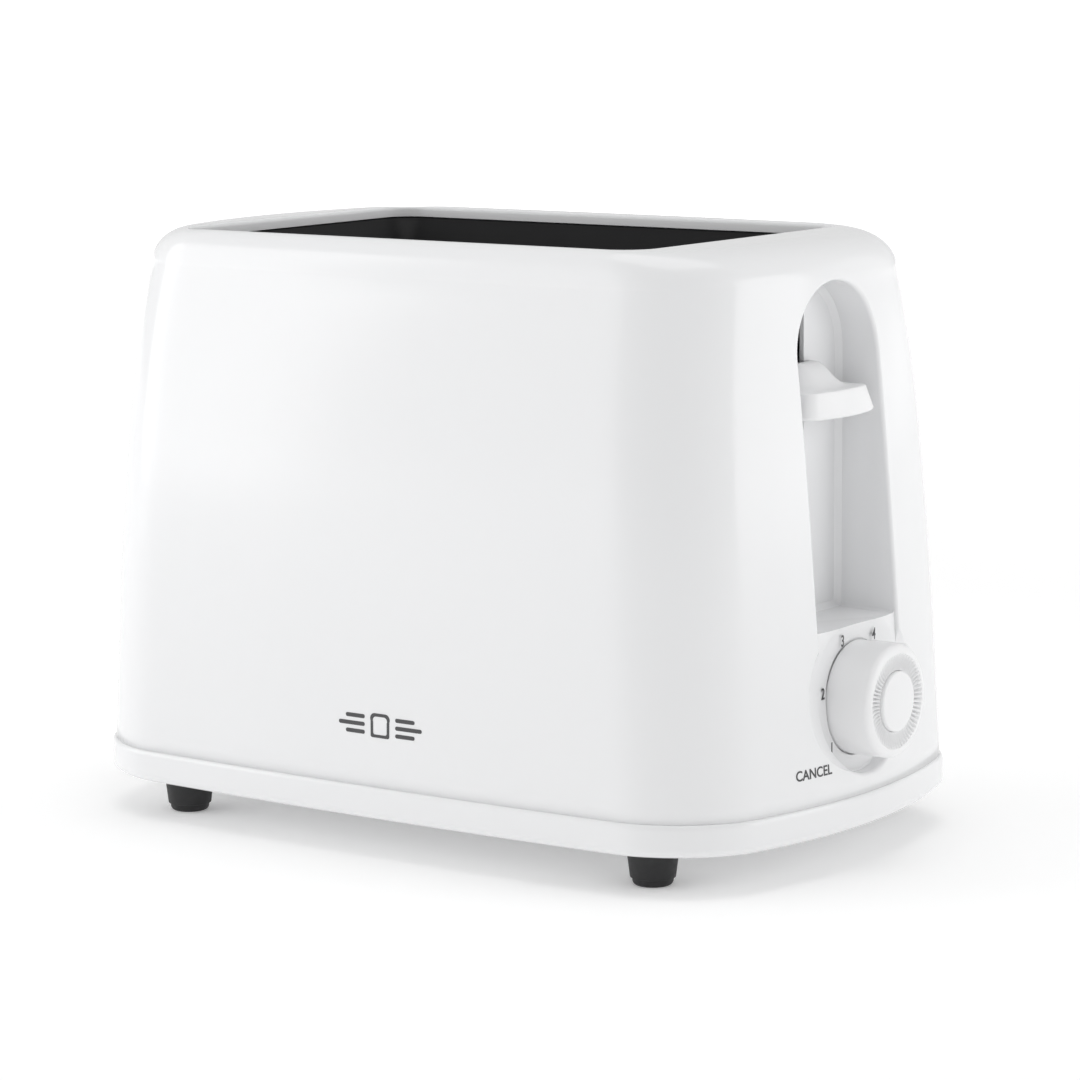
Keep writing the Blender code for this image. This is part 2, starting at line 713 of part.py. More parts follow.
def crumb_tray():
    """A shallow pan whose front closes the doorway in the base."""
    y = TRAY_HALF_WIDTH
    front_inner = -BASE_END + TRAY_FRONT_DEPTH
    pan = box((front_inner, -y, TRAY_BOTTOM), (TRAY_RIGHT, y, TRAY_TOP))
    pan = part(pan, "crumb_tray", GALVANISED, TRAY)
    inside = box(
        (front_inner + TRAY_SHEET, -y + TRAY_SHEET, TRAY_BOTTOM + TRAY_SHEET),
        (TRAY_RIGHT - TRAY_SHEET, y - TRAY_SHEET, TRAY_TOP + 0.001),
    )
    front = box(
        (-BASE_END - 0.005, -y, TRAY_BOTTOM), (front_inner + TRAY_SHEET / 2, y, SEAM_Z - 0.0004)
    )
    front = cutter(front, "tray_front", TRAY)
    form = cutter(base_solid(0, BASE_BOTTOM, SEAM_Z), "tray_front_form", TRAY)
    combine(front, form, "INTERSECT")
    cut(pan, cutter(inside, "tray_inside", TRAY))
    join(pan, front)
    finger = box(
        (-BASE_END - 0.001, -TRAY_PULL_HALF_WIDTH, TRAY_BOTTOM - 0.001),
        (-BASE_END + TRAY_PULL_DEPTH, TRAY_PULL_HALF_WIDTH, TRAY_PULL_TOP),
    )
    cut(pan, cutter(finger, "tray_finger_pull", TRAY))


def guard_places():
    """The name of each grille, and the y of its middle."""
    places = []
    for slot, side in (("front", -1), ("back", 1)):
        for edge, out in (("outer", 1), ("inner", -1)):
            y = side * SLOT_CENTRE + side * out * (GUARD_OFFSET + PLATE_SHEET / 2)
            places.append((f"bread_guard_{slot}_{edge}", y))
    return places


def end_plate(name, side):
    """A chassis end plate, with slots for the lifters and holes for the guards' pins."""
    low = PLATE_INNER if side > 0 else -PLATE_INNER - PLATE_SHEET
    legs = TRAY_HALF_WIDTH + 0.0010
    w = PLATE_HALF_WIDTH
    outline = [
        (-w, TRAY_BOTTOM + GAP),
        (-legs, TRAY_BOTTOM + GAP),
        (-legs, PLATE_BOTTOM),
        (legs, PLATE_BOTTOM),
        (legs, TRAY_BOTTOM + GAP),
        (w, TRAY_BOTTOM + GAP),
        (w, PLATE_TOP),
        (-w, PLATE_TOP),
    ]
    loops = [outline]
    for y in (-SLOT_CENTRE, SLOT_CENTRE):
        upper = arc((y, LIFTER_SLOT_HIGH), LIFTER_SLOT_RADIUS, 0, 180, 6)
        lower = arc((y, LIFTER_SLOT_LOW), LIFTER_SLOT_RADIUS, 180, 360, 6)
        loops.append(upper + lower)
    for _, y in guard_places():
        loops.append(arc((y, GUARD_PIVOT_Z), GUARD_PIN_RADIUS + 0.0005, 0, 330, 11))
    plate = part(flat(loops, "YZ", low, low + PLATE_SHEET), name, GALVANISED)
    if side > 0:
        add_lugs(plate)


def add_lugs(plate):
    """Folded lugs that hold the guide rod at both ends and the spring at its top."""
    inner = PLATE_INNER + PLATE_SHEET / 2
    rod_side = ROD_Y + BUSH_RADIUS
    lugs = {"upper_lug": (UPPER_LUG_TOP, LUG_HALF_DEPTH), "lower_lug": (LOWER_LUG_TOP, rod_side)}
    for name, (high, far) in lugs.items():
        low = high - SHEET
        lug = box((inner, -LUG_HALF_DEPTH, low), (ROD_X + LUG_REACH, far, high))
        hole = rod((ROD_X, ROD_Y, low - 0.002), (ROD_X, ROD_Y, high + 0.002), ROD_RADIUS + GAP)
        join(plate, cutter(lug, name))
        cut(plate, cutter(hole, name + "_hole"))


def cage():
    """End plates, heat shields, mica boards and their heating ribbons."""
    end_plate("end_plate_left", -1)
    end_plate("end_plate_right", 1)
    x = PLATE_INNER - 0.0004
    for side, name in ((-1, "front"), (1, "back")):
        y = side * (SHIELD_Y + BOARD_SHEET / 2)
        outline = rectangle(-x, SHIELD_LOW, x, SHIELD_HIGH)
        shield = flat([outline], "XZ", y - BOARD_SHEET / 2, y + BOARD_SHEET / 2)
        part(shield, f"heat_shield_{name}", BRIGHT_STEEL)
    half = BOARD_SHEET / 2
    for name, y in (("front", -BOARD_Y), ("middle", 0), ("back", BOARD_Y)):
        board = [rectangle(-BOARD_HALF_LENGTH, BOARD_LOW, BOARD_HALF_LENGTH, BOARD_HIGH)]
        part(flat(board, "XZ", y - half, y + half), f"element_board_{name}", MICA)
    step = half + GAP + RIBBON_SHEET / 2
    ribbon("heating_ribbon_front", -BOARD_Y + step)
    ribbon("heating_ribbon_middle_front", -step)
    ribbon("heating_ribbon_middle_back", step)
    ribbon("heating_ribbon_back", BOARD_Y - step)


def ribbon(name, y):
    """One flat ribbon that runs to and fro across the board."""
    pitch = (BOARD_HIGH - BOARD_LOW - 2 * RIBBON_END_MARGIN) / (RIBBON_RUNS - 1)
    half = RIBBON_WIDTH / 2
    reach = BOARD_HALF_LENGTH - RIBBON_MARGIN
    outline = serpentine(reach, half, pitch)
    part(flat([outline], "XZ", y - RIBBON_SHEET / 2, y + RIBBON_SHEET / 2), name, NICHROME)


def serpentine(reach, half, pitch):
    """The outline of a strip that goes right, up, left, up and so on, at a constant width."""
    middle = []
    for run in range(RIBBON_RUNS):
        z = BOARD_LOW + RIBBON_END_MARGIN + run * pitch
        ends = (-reach, reach) if run % 2 == 0 else (reach, -reach)
        middle += [(ends[0], z), (ends[1], z)]
    left, right = [], []
    for i, (x, z) in enumerate(middle):
        before = middle[max(i - 1, 0)]
        after = middle[min(i + 1, len(middle) - 1)]
        inward = Vector((x - before[0], z - before[1]))
        onward = Vector((after[0] - x, after[1] - z))
        inward = inward.normalized() if inward.length else onward.normalized()
        onward = onward.normalized() if onward.length else inward
        side = Vector((-inward.y, inward.x))
        if abs(inward.dot(onward)) < 0.5:
            side += Vector((-onward.y, onward.x))
        left.append((x + side.x * half, z + side.y * half))
        right.append((x - side.x * half, z - side.y * half))
    return left + right[::-1]


def guards():
    """Four hinged grilles that lean in to hold the bread as the carriage goes down."""
    half = PLATE_SHEET / 2
    reach = PLATE_INNER + PLATE_SHEET + 0.0015
    for name, y in guard_places():
        pivot = empty_at(name + "_hinge", (0, y, GUARD_PIVOT_Z))
        low, high = GUARD_PIVOT_Z - GUARD_PIN_RADIUS, GUARD_TOP
        ear = GUARD_PIVOT_Z + GUARD_PIN_RADIUS
        edge = [(reach, low), (reach, ear), (GUARD_HALF_LENGTH, ear), (GUARD_HALF_LENGTH, high)]
        loops = [edge + [(-u, v) for u, v in reversed(edge)]]
        pitch = 2 * GUARD_HALF_LENGTH / GUARD_WINDOWS
        for i in range(GUARD_WINDOWS):
            left = -GUARD_HALF_LENGTH + pitch * i + GUARD_HALF_WIRE
            right = left + pitch - 2 * GUARD_HALF_WIRE
            window = (left, low + 0.004, right, high - 0.003)
            loops.append(rectangle(*window))
        part(flat(loops, "XZ", y - half, y + half), name, BRIGHT_STEEL, pivot)


def lifters():
    """The two strips that carry the bread, on webs that pass through the end plates."""
    for side, name in ((-1, "front"), (1, "back")):
        y = side * SLOT_CENTRE
        strip = box(
            (-LIFTER_HALF_LENGTH, y - LIFTER_HALF_WIDTH, LIFTER_TOP - LIFTER_SHEET),
            (LIFTER_HALF_LENGTH, y + LIFTER_HALF_WIDTH, LIFTER_TOP),
        )
        web = box(
            (WEB_LEFT, y - WEB_HALF_WIDTH, LIFTER_TOP - WEB_DEPTH),
            (BRACKET_X - GAP, y + WEB_HALF_WIDTH, LIFTER_TOP - LIFTER_SHEET / 2),
        )
        strip = part(strip, f"bread_lifter_{name}", BRIGHT_STEEL, CARRIAGE)
        join(strip, cutter(web, f"lifter_web_{name}", CARRIAGE))


def carriage_bracket():
    """The pressed bracket that slides on the guide rod and carries the lever and the lifters."""
    wide, narrow = BRACKET_HALF_WIDTH, TONGUE_HALF_WIDTH
    outline = [
        (-wide, BRACKET_LOW),
        (wide, BRACKET_LOW),
        (wide, BRACKET_HIGH),
        (narrow, BRACKET_HIGH),
        (narrow, TONGUE_HIGH),
        (-narrow, TONGUE_HIGH),
        (-narrow, BRACKET_HIGH),
        (-wide, BRACKET_HIGH),
    ]
    plate = flat([outline], "YZ", BRACKET_X, BRACKET_X + BRACKET_SHEET)
    plate = part(plate, "carriage_bracket", GALVANISED, CARRIAGE)
    inner = BRACKET_X + BRACKET_SHEET / 2
    half = TAB_HALF_WIDTH
    stem = box((inner, -STEM_HALF_WIDTH, STEM_LOW), (STEM_FRONT, STEM_HALF_WIDTH, STEM_HIGH))
    tab = box((inner, SPRING_Y - half, TAB_LOW), (ROD_X + half, SPRING_Y + half, TAB_HIGH))
    neck = box((inner, ROD_Y - half, BUSH_LOW + 0.001), (ROD_X, ROD_Y + half, BUSH_HIGH - 0.001))
    bush = rod((ROD_X, ROD_Y, BUSH_LOW), (ROD_X, ROD_Y, BUSH_HIGH), BUSH_RADIUS, sides=20)
    below, above = (ROD_X, ROD_Y, BUSH_LOW - 0.004), (ROD_X, ROD_Y, BUSH_HIGH + 0.004)
    bore = rod(below, above, ROD_RADIUS + GAP, sides=16)
    joined = {"lever_stem": stem, "spring_tab": tab, "bush_neck": neck, "bush": bush}
    for name, solid in joined.items():
        join(plate, cutter(solid, name, CARRIAGE))
    cut(plate, cutter(bore, "bush_bore", CARRIAGE))


def lever_knob():
    """The white paddle: a shelf with a curved front and a hump against the back wall."""
    back = RECESS_BACK + 0.0009
    w = LEVER_HALF_WIDTH
    radius = (w**2 + LEVER_SAG**2) / (2 * LEVER_SAG)
    spread = math.degrees(math.asin(w / radius))
    front = arc((LEVER_FRONT - radius, 0), radius, -spread, spread, 8)
    outline = [(back, w - 0.003)] + [(back, 0.003 - w)] + front
    shelf = flat([outline], "XY", LEVER_LOW, LEVER_SHELF)
    shelf = part(shelf, "lever_knob", KNOB_WHITE, CARRIAGE)
    ease = shelf.modifiers.new("edges", "BEVEL")
    ease.width = 0.0012
    ease.segments = 2
    ease.angle_limit = math.radians(40)
    flank = [
        (HUMP_HALF_WIDTH, LEVER_SHELF - 0.003),
        (HUMP_HALF_WIDTH - 0.0025, LEVER_SHELF + 0.0012),
        (HUMP_TOP_HALF_WIDTH + 0.0025, LEVER_HUMP - 0.002),
        (HUMP_TOP_HALF_WIDTH, LEVER_HUMP),
    ]
    hump_outline = flank + [(-y, z) for y, z in reversed(flank)]
    hump = flat([hump_outline], "YZ", back + 0.0001, back + HUMP_DEPTH)
    socket = box(
        (back - 0.002, -STEM_HALF_WIDTH - GAP, STEM_LOW - GAP),
        (STEM_FRONT + GAP, STEM_HALF_WIDTH + GAP, STEM_HIGH + GAP),
    )
    join(shelf, cutter(hump, "lever_hump", CARRIAGE))
    cut(shelf, cutter(socket, "lever_socket", CARRIAGE))


def return_spring():
    """A coil spring that lifts the carriage, hooked between the bracket's tab and the upper lug."""
    per_turn = 10
    count = SPRING_TURNS * per_turn
    curve = bpy.data.curves.new("coil", "CURVE")
    curve.dimensions = "3D"
    curve.bevel_depth = SPRING_WIRE
    curve.bevel_resolution = 1
    curve.use_fill_caps = True
    spline = curve.splines.new("POLY")
    spline.points.add(count)
    low, high = SPRING_LOW + SPRING_WIRE, SPRING_HIGH - SPRING_WIRE
    for i in range(count + 1):
        turn = 2 * math.pi * i / per_turn
        x = ROD_X + SPRING_RADIUS * math.cos(turn)
        y = SPRING_Y + SPRING_RADIUS * math.sin(turn)
        spline.points[i].co = (x, y, low + (high - low) * i / count, 1)
    part(solid_curve(curve), "return_spring", BRIGHT_STEEL)


def magnet():
    """The electromagnet that holds the carriage down, and the keeper that it pulls on."""
    x_low, x_high = MAGNET_BACK, MAGNET_FRONT
    y, half = MAGNET_Y, MAGNET_HALF_WIDTH
    yoke = box((x_low, y - half, MAGNET_LOW), (x_high, y + half, MAGNET_LOW + MAGNET_YOKE))
    core = part(yoke, "electromagnet_core", GALVANISED)
    poles = {
        "left": (-half, MAGNET_POLE - half),
        "centre": (-MAGNET_CORE_HALF_WIDTH, MAGNET_CORE_HALF_WIDTH),
        "right": (half - MAGNET_POLE, half),
    }
    for name, (low, high) in poles.items():
        pole = box(
            (x_low, y + low, MAGNET_LOW + MAGNET_YOKE - 0.001), (x_high, y + high, MAGNET_TOP)
        )
        join(core, cutter(pole, f"pole_{name}"))
    middle = (x_low + x_high) / 2
    outer = rectangle(
        middle - COIL_HALF_DEPTH, y - COIL_HALF_WIDTH, middle + COIL_HALF_DEPTH, y + COIL_HALF_WIDTH, 0.002
    )
    across = MAGNET_CORE_HALF_WIDTH + GAP
    inner = rectangle(x_low - GAP, y - across, x_high + GAP, y + across)
    part(flat([outer, inner], "XY", COIL_LOW, COIL_HIGH), "electromagnet_coil", COPPER)
    keeper_low = MAGNET_TOP + KEEPER_LIFT
    keeper = box(
        (BRACKET_X + BRACKET_SHEET + GAP, y - KEEPER_HALF_WIDTH, keeper_low),
        (x_high + 0.001, y + KEEPER_HALF_WIDTH, keeper_low + KEEPER_SHEET),
    )
    part(keeper, "magnet_keeper", BRIGHT_STEEL, CARRIAGE)


def browning_control():
    """The knob on its hollow shaft, and the cancel button that pushes through both."""
    z = DIAL_Z
    bore = SHAFT_RADIUS + GAP
    knob_profile = [
        (bore, KNOB_REAR + GAP),
        (KNOB_HUB_RADIUS, KNOB_REAR + GAP),
        (KNOB_HUB_RADIUS, KNOB_WEB_REAR),
        (KNOB_HOLLOW_RADIUS, KNOB_WEB_REAR),
        (KNOB_HOLLOW_RADIUS, KNOB_REAR),
        (KNOB_RADIUS, KNOB_REAR),
        (KNOB_RADIUS, KNOB_FACE - 0.0016),
        (KNOB_RADIUS - 0.0005, KNOB_FACE - 0.0005),
        (KNOB_RADIUS - 0.0018, KNOB_FACE),
        (BUTTON_RADIUS + GAP, KNOB_FACE),
        (BUTTON_RADIUS + GAP, KNOB_FACE - KNOB_LIP),
        (KNOB_HOLLOW_RADIUS, KNOB_FACE - KNOB_LIP),
        (KNOB_HOLLOW_RADIUS, KNOB_WEB_FRONT),
        (bore, KNOB_WEB_FRONT),
    ]
    part(turned(knob_profile, 0, z, 40), "browning_knob", KNOB_WHITE, KNOB)
    shaft_profile = [
        (SHAFT_BORE, SHAFT_REAR),
        (SHAFT_RADIUS, SHAFT_REAR),
        (SHAFT_RADIUS, SHAFT_FRONT),
        (SHAFT_BORE, SHAFT_FRONT),
    ]
    part(turned(shaft_profile, 0, z, 20), "browning_shaft", BLACK_PLASTIC, KNOB)
    button_profile = [
        (0.0, BUTTON_STEM_END),
        (BUTTON_STEM_RADIUS, BUTTON_STEM_END),
        (BUTTON_STEM_RADIUS, BUTTON_FACE - BUTTON_THICKNESS),
        (BUTTON_RADIUS, BUTTON_FACE - BUTTON_THICKNESS),
        (BUTTON_RADIUS, BUTTON_FACE - 0.0012),
        (BUTTON_RADIUS - 0.0012, BUTTON_FACE - 0.0006),
        (BUTTON_RADIUS * 0.5, BUTTON_FACE - 0.0001),
        (0.0, BUTTON_FACE),
    ]
    part(turned(button_profile, 0, z, 32), "cancel_button", KNOB_WHITE, BUTTON)
    body_profile = [
        (bore, POTENTIOMETER_REAR),
        (POTENTIOMETER_RADIUS, POTENTIOMETER_REAR),
        (POTENTIOMETER_RADIUS, POTENTIOMETER_FRONT),
        (bore, POTENTIOMETER_FRONT),
    ]
    part(turned(body_profile, 0, z, 20), "browning_potentiometer", BLACK_PLASTIC)


def electrics():
    """The control board, switches, terminal block and cord gland."""
    x = CONTROL_BOARD_X
    w = CONTROL_BOARD_HALF_WIDTH
    hole = arc((0, DIAL_Z), BUTTON_STEM_RADIUS + 0.001, 0, 330, 11)
    outline = rectangle(-w, CONTROL_BOARD_LOW, w, CONTROL_BOARD_HIGH)
    board = flat([outline, hole], "YZ", x, x + CONTROL_BOARD_SHEET)
    part(board, "control_board", BOARD_GREEN)
    half = SWITCH_HALF_WIDTH
    switch = box((SWITCH_BACK, -half, DIAL_Z - half), (x - GAP, half, DIAL_Z + half))
    part(switch, "cancel_switch", BLACK_PLASTIC)
    part(box(*CONTACT_BLOCK), "contact_block", BLACK_PLASTIC)
    part(box(*TERMINAL_BLOCK), "terminal_block", MICA)
    guide = rod((ROD_X, ROD_Y, ROD_LOW), (ROD_X, ROD_Y, ROD_HIGH), ROD_RADIUS, sides=20)
    part(guide, "guide_rod", BRIGHT_STEEL)
    cord_gland()


def cord_gland():
    """A flanged bush in the back wall, where a mains cord would enter."""

    def along(y):
        return (GLAND_X, y, GLAND_Z)

    inner, outer = GLAND_WALL - GLAND_NECK_LENGTH, GLAND_WALL + GLAND_FLANGE_SHEET
    flange = rod(along(GLAND_WALL), along(outer), GLAND_FLANGE_RADIUS, sides=24)
    neck = rod(along(inner), along(GLAND_WALL + 0.0005), GLAND_NECK_RADIUS, sides=20)
    bore = rod(along(inner - 0.001), along(outer + 0.001), GLAND_BORE_RADIUS)
    gland = part(neck, "cord_gland", BLACK_PLASTIC)
    join(gland, cutter(flange, "gland_flange"))
    cut(gland, cutter(bore, "gland_bore"))


def main():
    housing()
    base()
    feet()
    base_screws()
    slot_plate()
    crumb_tray()
    cage()
    guards()
    lifters()
    carriage_bracket()
    lever_knob()
    return_spring()
    magnet()
    browning_control()
    electrics()


main()
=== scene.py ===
import json
import math

import bmesh
import bpy
import numpy as np
from mathutils import Matrix, Vector
from mathutils.bvhtree import BVHTree
from mathutils.interpolate import poly_3d_calc


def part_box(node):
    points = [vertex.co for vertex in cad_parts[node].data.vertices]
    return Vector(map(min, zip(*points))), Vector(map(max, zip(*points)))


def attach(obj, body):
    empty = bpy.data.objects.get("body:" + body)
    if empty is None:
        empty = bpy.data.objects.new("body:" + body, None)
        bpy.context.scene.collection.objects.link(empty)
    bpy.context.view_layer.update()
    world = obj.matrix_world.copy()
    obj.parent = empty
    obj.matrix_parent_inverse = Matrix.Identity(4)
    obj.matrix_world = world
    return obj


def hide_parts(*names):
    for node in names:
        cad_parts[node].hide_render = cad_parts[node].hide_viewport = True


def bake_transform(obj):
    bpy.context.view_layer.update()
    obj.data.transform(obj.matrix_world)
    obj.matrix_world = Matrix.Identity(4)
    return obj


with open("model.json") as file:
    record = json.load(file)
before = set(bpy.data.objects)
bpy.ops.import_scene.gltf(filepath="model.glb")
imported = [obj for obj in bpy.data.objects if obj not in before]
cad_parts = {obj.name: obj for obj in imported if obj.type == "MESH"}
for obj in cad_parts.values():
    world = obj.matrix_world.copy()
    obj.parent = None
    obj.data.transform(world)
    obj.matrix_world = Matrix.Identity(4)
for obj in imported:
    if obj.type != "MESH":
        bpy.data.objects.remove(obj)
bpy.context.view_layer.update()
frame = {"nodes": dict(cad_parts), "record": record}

# Body shell, in metres. x is measured from the middle of the body.
SEAM_HALF_LENGTH = 0.1250
SEAM_HALF_WIDTH = 0.0766
SEAM_Z = 0.0218
SEAM_LAP = 0.00027
BODY_TOP = 0.1798
END_DRAFT = 0.0136
SIDE_DRAFT = 0.0024
SIDE_CURVE = 0.0089
END_TUCK = 0.0007
SIDE_TUCK = 0.0049
CORNER_RADIUS = 0.0222
END_BOW = 0.0158
END_BULGE = 0.0010
SIDE_BOW = 0.0033
TOP_FILLET_HEIGHT = 0.0112
TOP_FILLET_END = 0.0160
TOP_FILLET_SIDE = 0.0052
SHELL_WALL = 0.0025
TOP_WALL = 0.0034

OPENING = (-0.0869, -0.0559, 0.0809, 0.0559)
OPENING_RADIUS = 0.0090
OPENING_LIP = 0.0014
SLOT_CENTRE = 0.0225
SLOT_HALF_WIDTH = 0.0140
SLOT_HALF_LENGTH = 0.0660
SLOT_PLATE_FLOOR = 0.1652

RECESS_BACK = 0.0995
RECESS_HALF_WIDTH = 0.0217
RECESS_FLOOR = 0.0700
RECESS_ARCH_CENTRE = 0.1469
RECESS_EDGE = 0.0013
RECESS_CORNER = 0.0017
PANEL_FACE = 0.1198
LEVER_SLOT_HALF_WIDTH = 0.0029
LEVER_SLOT_LOW = 0.0760
LEVER_SLOT_HIGH = 0.1600
DIAL_Z = 0.0487
KNOB_WELL_RADIUS = 0.0170
KNOB_WELL_DEPTH = 0.0014
RECESS_WALL = 0.0014
RECESS_FLOOR_CORNER = 0.0012
RECESS_FLOOR_FALL = 0.0006
PANEL_EDGE = 0.0005
PANEL_WALL = 0.0024
PANEL_OVERLAP = 0.006
SCOOP_CENTRE = (0.1228, 0, DIAL_Z + 0.0015)
SCOOP_HALF_SIZES = (0.0038, 0.0325, 0.0225)
SCOOP_SLANT = 0.08
SHAFT_HOLE_RADIUS = 0.0045
GLAND_HOLE_RADIUS = 0.0066

BASE_BOTTOM = 0.0117
BASE_PROUD = 0.0007
BASE_EDGE = 0.0026
BASE_RIM_ROUND = 0.0018
BASE_WALL = 0.0025
BASE_FLOOR = 0.0024
DOORWAY_GAP = 0.0006
DOORWAY_DEPTH = 0.040
VENTS_IN_ROW = 7
VENT_PITCH = 0.020
VENT_ROW_Y = 0.022
VENT_HALF_WIDTH = 0.0016
VENT_HALF_LENGTH = 0.010
VENT_RADIUS = 0.0015
SCREW_HOLE_RADIUS = 0.0019
SCREW_HEAD_RADIUS = 0.0038
SCREW_HEAD_DEPTH = 0.0016
THROUGH = 0.001

MIDDLE_X = (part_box("base")[0][0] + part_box("base")[1][0]) / 2
BEYOND = SEAM_HALF_LENGTH + 0.010


# ---------------------------------------------------------------- mesh helpers


def new_object(name, mesh):
    obj = bpy.data.objects.new(name, mesh)
    bpy.context.scene.collection.objects.link(obj)
    return obj


def from_bmesh(name, bm):
    bmesh.ops.recalc_face_normals(bm, faces=bm.faces)
    mesh = bpy.data.meshes.new(name)
    bm.to_mesh(mesh)
    bm.free()
    return new_object(name, mesh)


def from_curve(name, curve):
    """A mesh object made from a curve or a text."""
    guide = new_object(name + "_guide", curve)
    graph = bpy.context.evaluated_depsgraph_get()
    mesh = bpy.data.meshes.new_from_object(guide.evaluated_get(graph))
    bpy.data.objects.remove(guide)
    return new_object(name, mesh)


def shift_to_frame(obj):
    """Moves a mesh from the body's own coordinates into the frame."""
    obj.data.transform(Matrix.Translation((MIDDLE_X, 0, 0)))
    return obj


def loft(name, rings, closed_ends=True):
    """A skin over rings of the same number of points."""
    bm = bmesh.new()
    rows = [[bm.verts.new(point) for point in ring] for ring in rings]
    count = len(rows[0])
    for lower, upper in zip(rows, rows[1:]):
        for i in range(count):
            j = (i + 1) % count
            bm.faces.new((lower[i], lower[j], upper[j], upper[i]))
    if closed_ends:
        bm.faces.new(reversed(rows[0]))
        bm.faces.new(rows[-1])
    return from_bmesh(name, bm)


def lathe(name, profile, axis="Z", centre=(0, 0, 0), sides=64):
    """A body turned from (radius, along) points. A radius of 0 closes on the axis."""
    bm = bmesh.new()
    rows = []
    for radius, along in profile:
        if radius == 0:
            rows.append([bm.verts.new((0, 0, along))])
            continue
        ring = []
        for i in range(sides):
            turn = 2 * math.pi * i / sides
            ring.append(bm.verts.new((radius * math.cos(turn), radius * math.sin(turn), along)))
        rows.append(ring)
    for lower, upper in zip(rows, rows[1:]):
        for i in range(sides):
            j = (i + 1) % sides
            if len(lower) == 1 and len(upper) > 1:
                bm.faces.new((lower[0], upper[j], upper[i]))
            elif len(upper) == 1 and len(lower) > 1:
                bm.faces.new((lower[i], lower[j], upper[0]))
            elif len(upper) > 1:
                bm.faces.new((lower[i], lower[j], upper[j], upper[i]))
    if axis == "X":
        bmesh.ops.rotate(bm, matrix=Matrix.Rotation(math.pi / 2, 3, "Y"), verts=bm.verts)
    bmesh.ops.translate(bm, vec=centre, verts=bm.verts)
    return from_bmesh(name, bm)


def arc(centre, radius, start, end, steps):
    """Points along an arc, from one angle to another in degrees."""
    u, v = centre
    angles = [math.radians(start + (end - start) * i / steps) for i in range(steps + 1)]
    return [(u + radius * math.cos(a), v + radius * math.sin(a)) for a in angles]


def rounded_rectangle(low_u, low_v, high_u, high_v, radius, steps=8):
    r = radius
    return (
        arc((high_u - r, low_v + r), r, -90, 0, steps)
        + arc((high_u - r, high_v - r), r, 0, 90, steps)
        + arc((low_u + r, high_v - r), r, 90, 180, steps)
        + arc((low_u + r, low_v + r), r, 180, 270, steps)
    )


def grown_ring(edges, grow, radius, z, steps):
    """A level ring: a rounded rectangle round (low x, low y, high x, high y), grown on every side."""
    low_x, low_y, high_x, high_y = edges
    outline = rounded_rectangle(
        low_x - grow, low_y - grow, high_x + grow, high_y + grow, radius, steps
    )
    return [(x, y, z) for x, y in outline]


def subdivided(points, longest):
    """The closed outline with every long straight run split up."""
    out = []
    for i, (u, v) in enumerate(points):
        next_u, next_v = points[(i + 1) % len(points)]
        runs = max(1, math.ceil(math.hypot(next_u - u, next_v - v) / longest))
        out += [(u + (next_u - u) * k / runs, v + (next_v - v) * k / runs) for k in range(runs)]
    return out


def smooth_step(t):
    """0 below 0, 1 above 1, and an S-shaped rise between."""
    t = min(max(t, 0), 1)
    return t * t * (3 - 2 * t)


def centre_of(node):
    """The middle of a CAD node's box."""
    low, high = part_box(node)
    return [(a + b) / 2 for a, b in zip(low, high)]


def boolean(obj, other, operation="DIFFERENCE"):
    """Applies a Boolean and removes the other object."""
    modifier = obj.modifiers.new("boolean", "BOOLEAN")
    modifier.operation = operation
    modifier.object = other
    modifier.solver = "EXACT"
    graph = bpy.context.evaluated_depsgraph_get()
    mesh = bpy.data.meshes.new_from_object(obj.evaluated_get(graph))
    obj.modifiers.clear()
    obj.data = mesh
    bpy.data.objects.remove(other)
    return obj


def smooth(obj, angle=30):
    obj.data.shade_smooth()
    obj.data.set_sharp_from_angle(angle=math.radians(angle))
    return obj


def box(name, low, high):
    bm = bmesh.new()
    bmesh.ops.create_cube(bm, size=1)
    low, high = Vector(low), Vector(high)
    move = Matrix.Translation((low + high) / 2) @ Matrix.Diagonal((*(high - low), 1))
    bmesh.ops.transform(bm, matrix=move, verts=bm.verts)
    return from_bmesh(name, bm)


def keep_skin_normals(obj, skin, within=0.00004):
    """Gives the faces of obj that lie on the uncut skin that skin's own smooth normals."""
    mesh, source = obj.data, skin.data
    tree = BVHTree.FromPolygons(
        [v.co for v in source.vertices], [list(p.vertices) for p in source.polygons]
    )
    normals = [n.vector.copy() for n in mesh.corner_normals]
    for face in mesh.polygons:
        spot, normal, _, far = tree.find_nearest(face.center)
        if far > within or normal.dot(face.normal) < 0.9:
            continue
        for loop in face.loop_indices:
            point = mesh.vertices[mesh.loops[loop].vertex_index].co
            spot, _, index, far = tree.find_nearest(point)
            if far > within:
                continue
            corners = source.polygons[index].vertices
            weights = poly_3d_calc([source.vertices[c].co for c in corners], spot)
            mixed = Vector()
            for corner, weight in zip(corners, weights):
                mixed += source.vertices[corner].normal * weight
            if mixed.length > 0.1:
                normals[loop] = mixed.normalized()
    mesh.normals_split_custom_set(normals)


# ---------------------------------------------------------------- the body's form


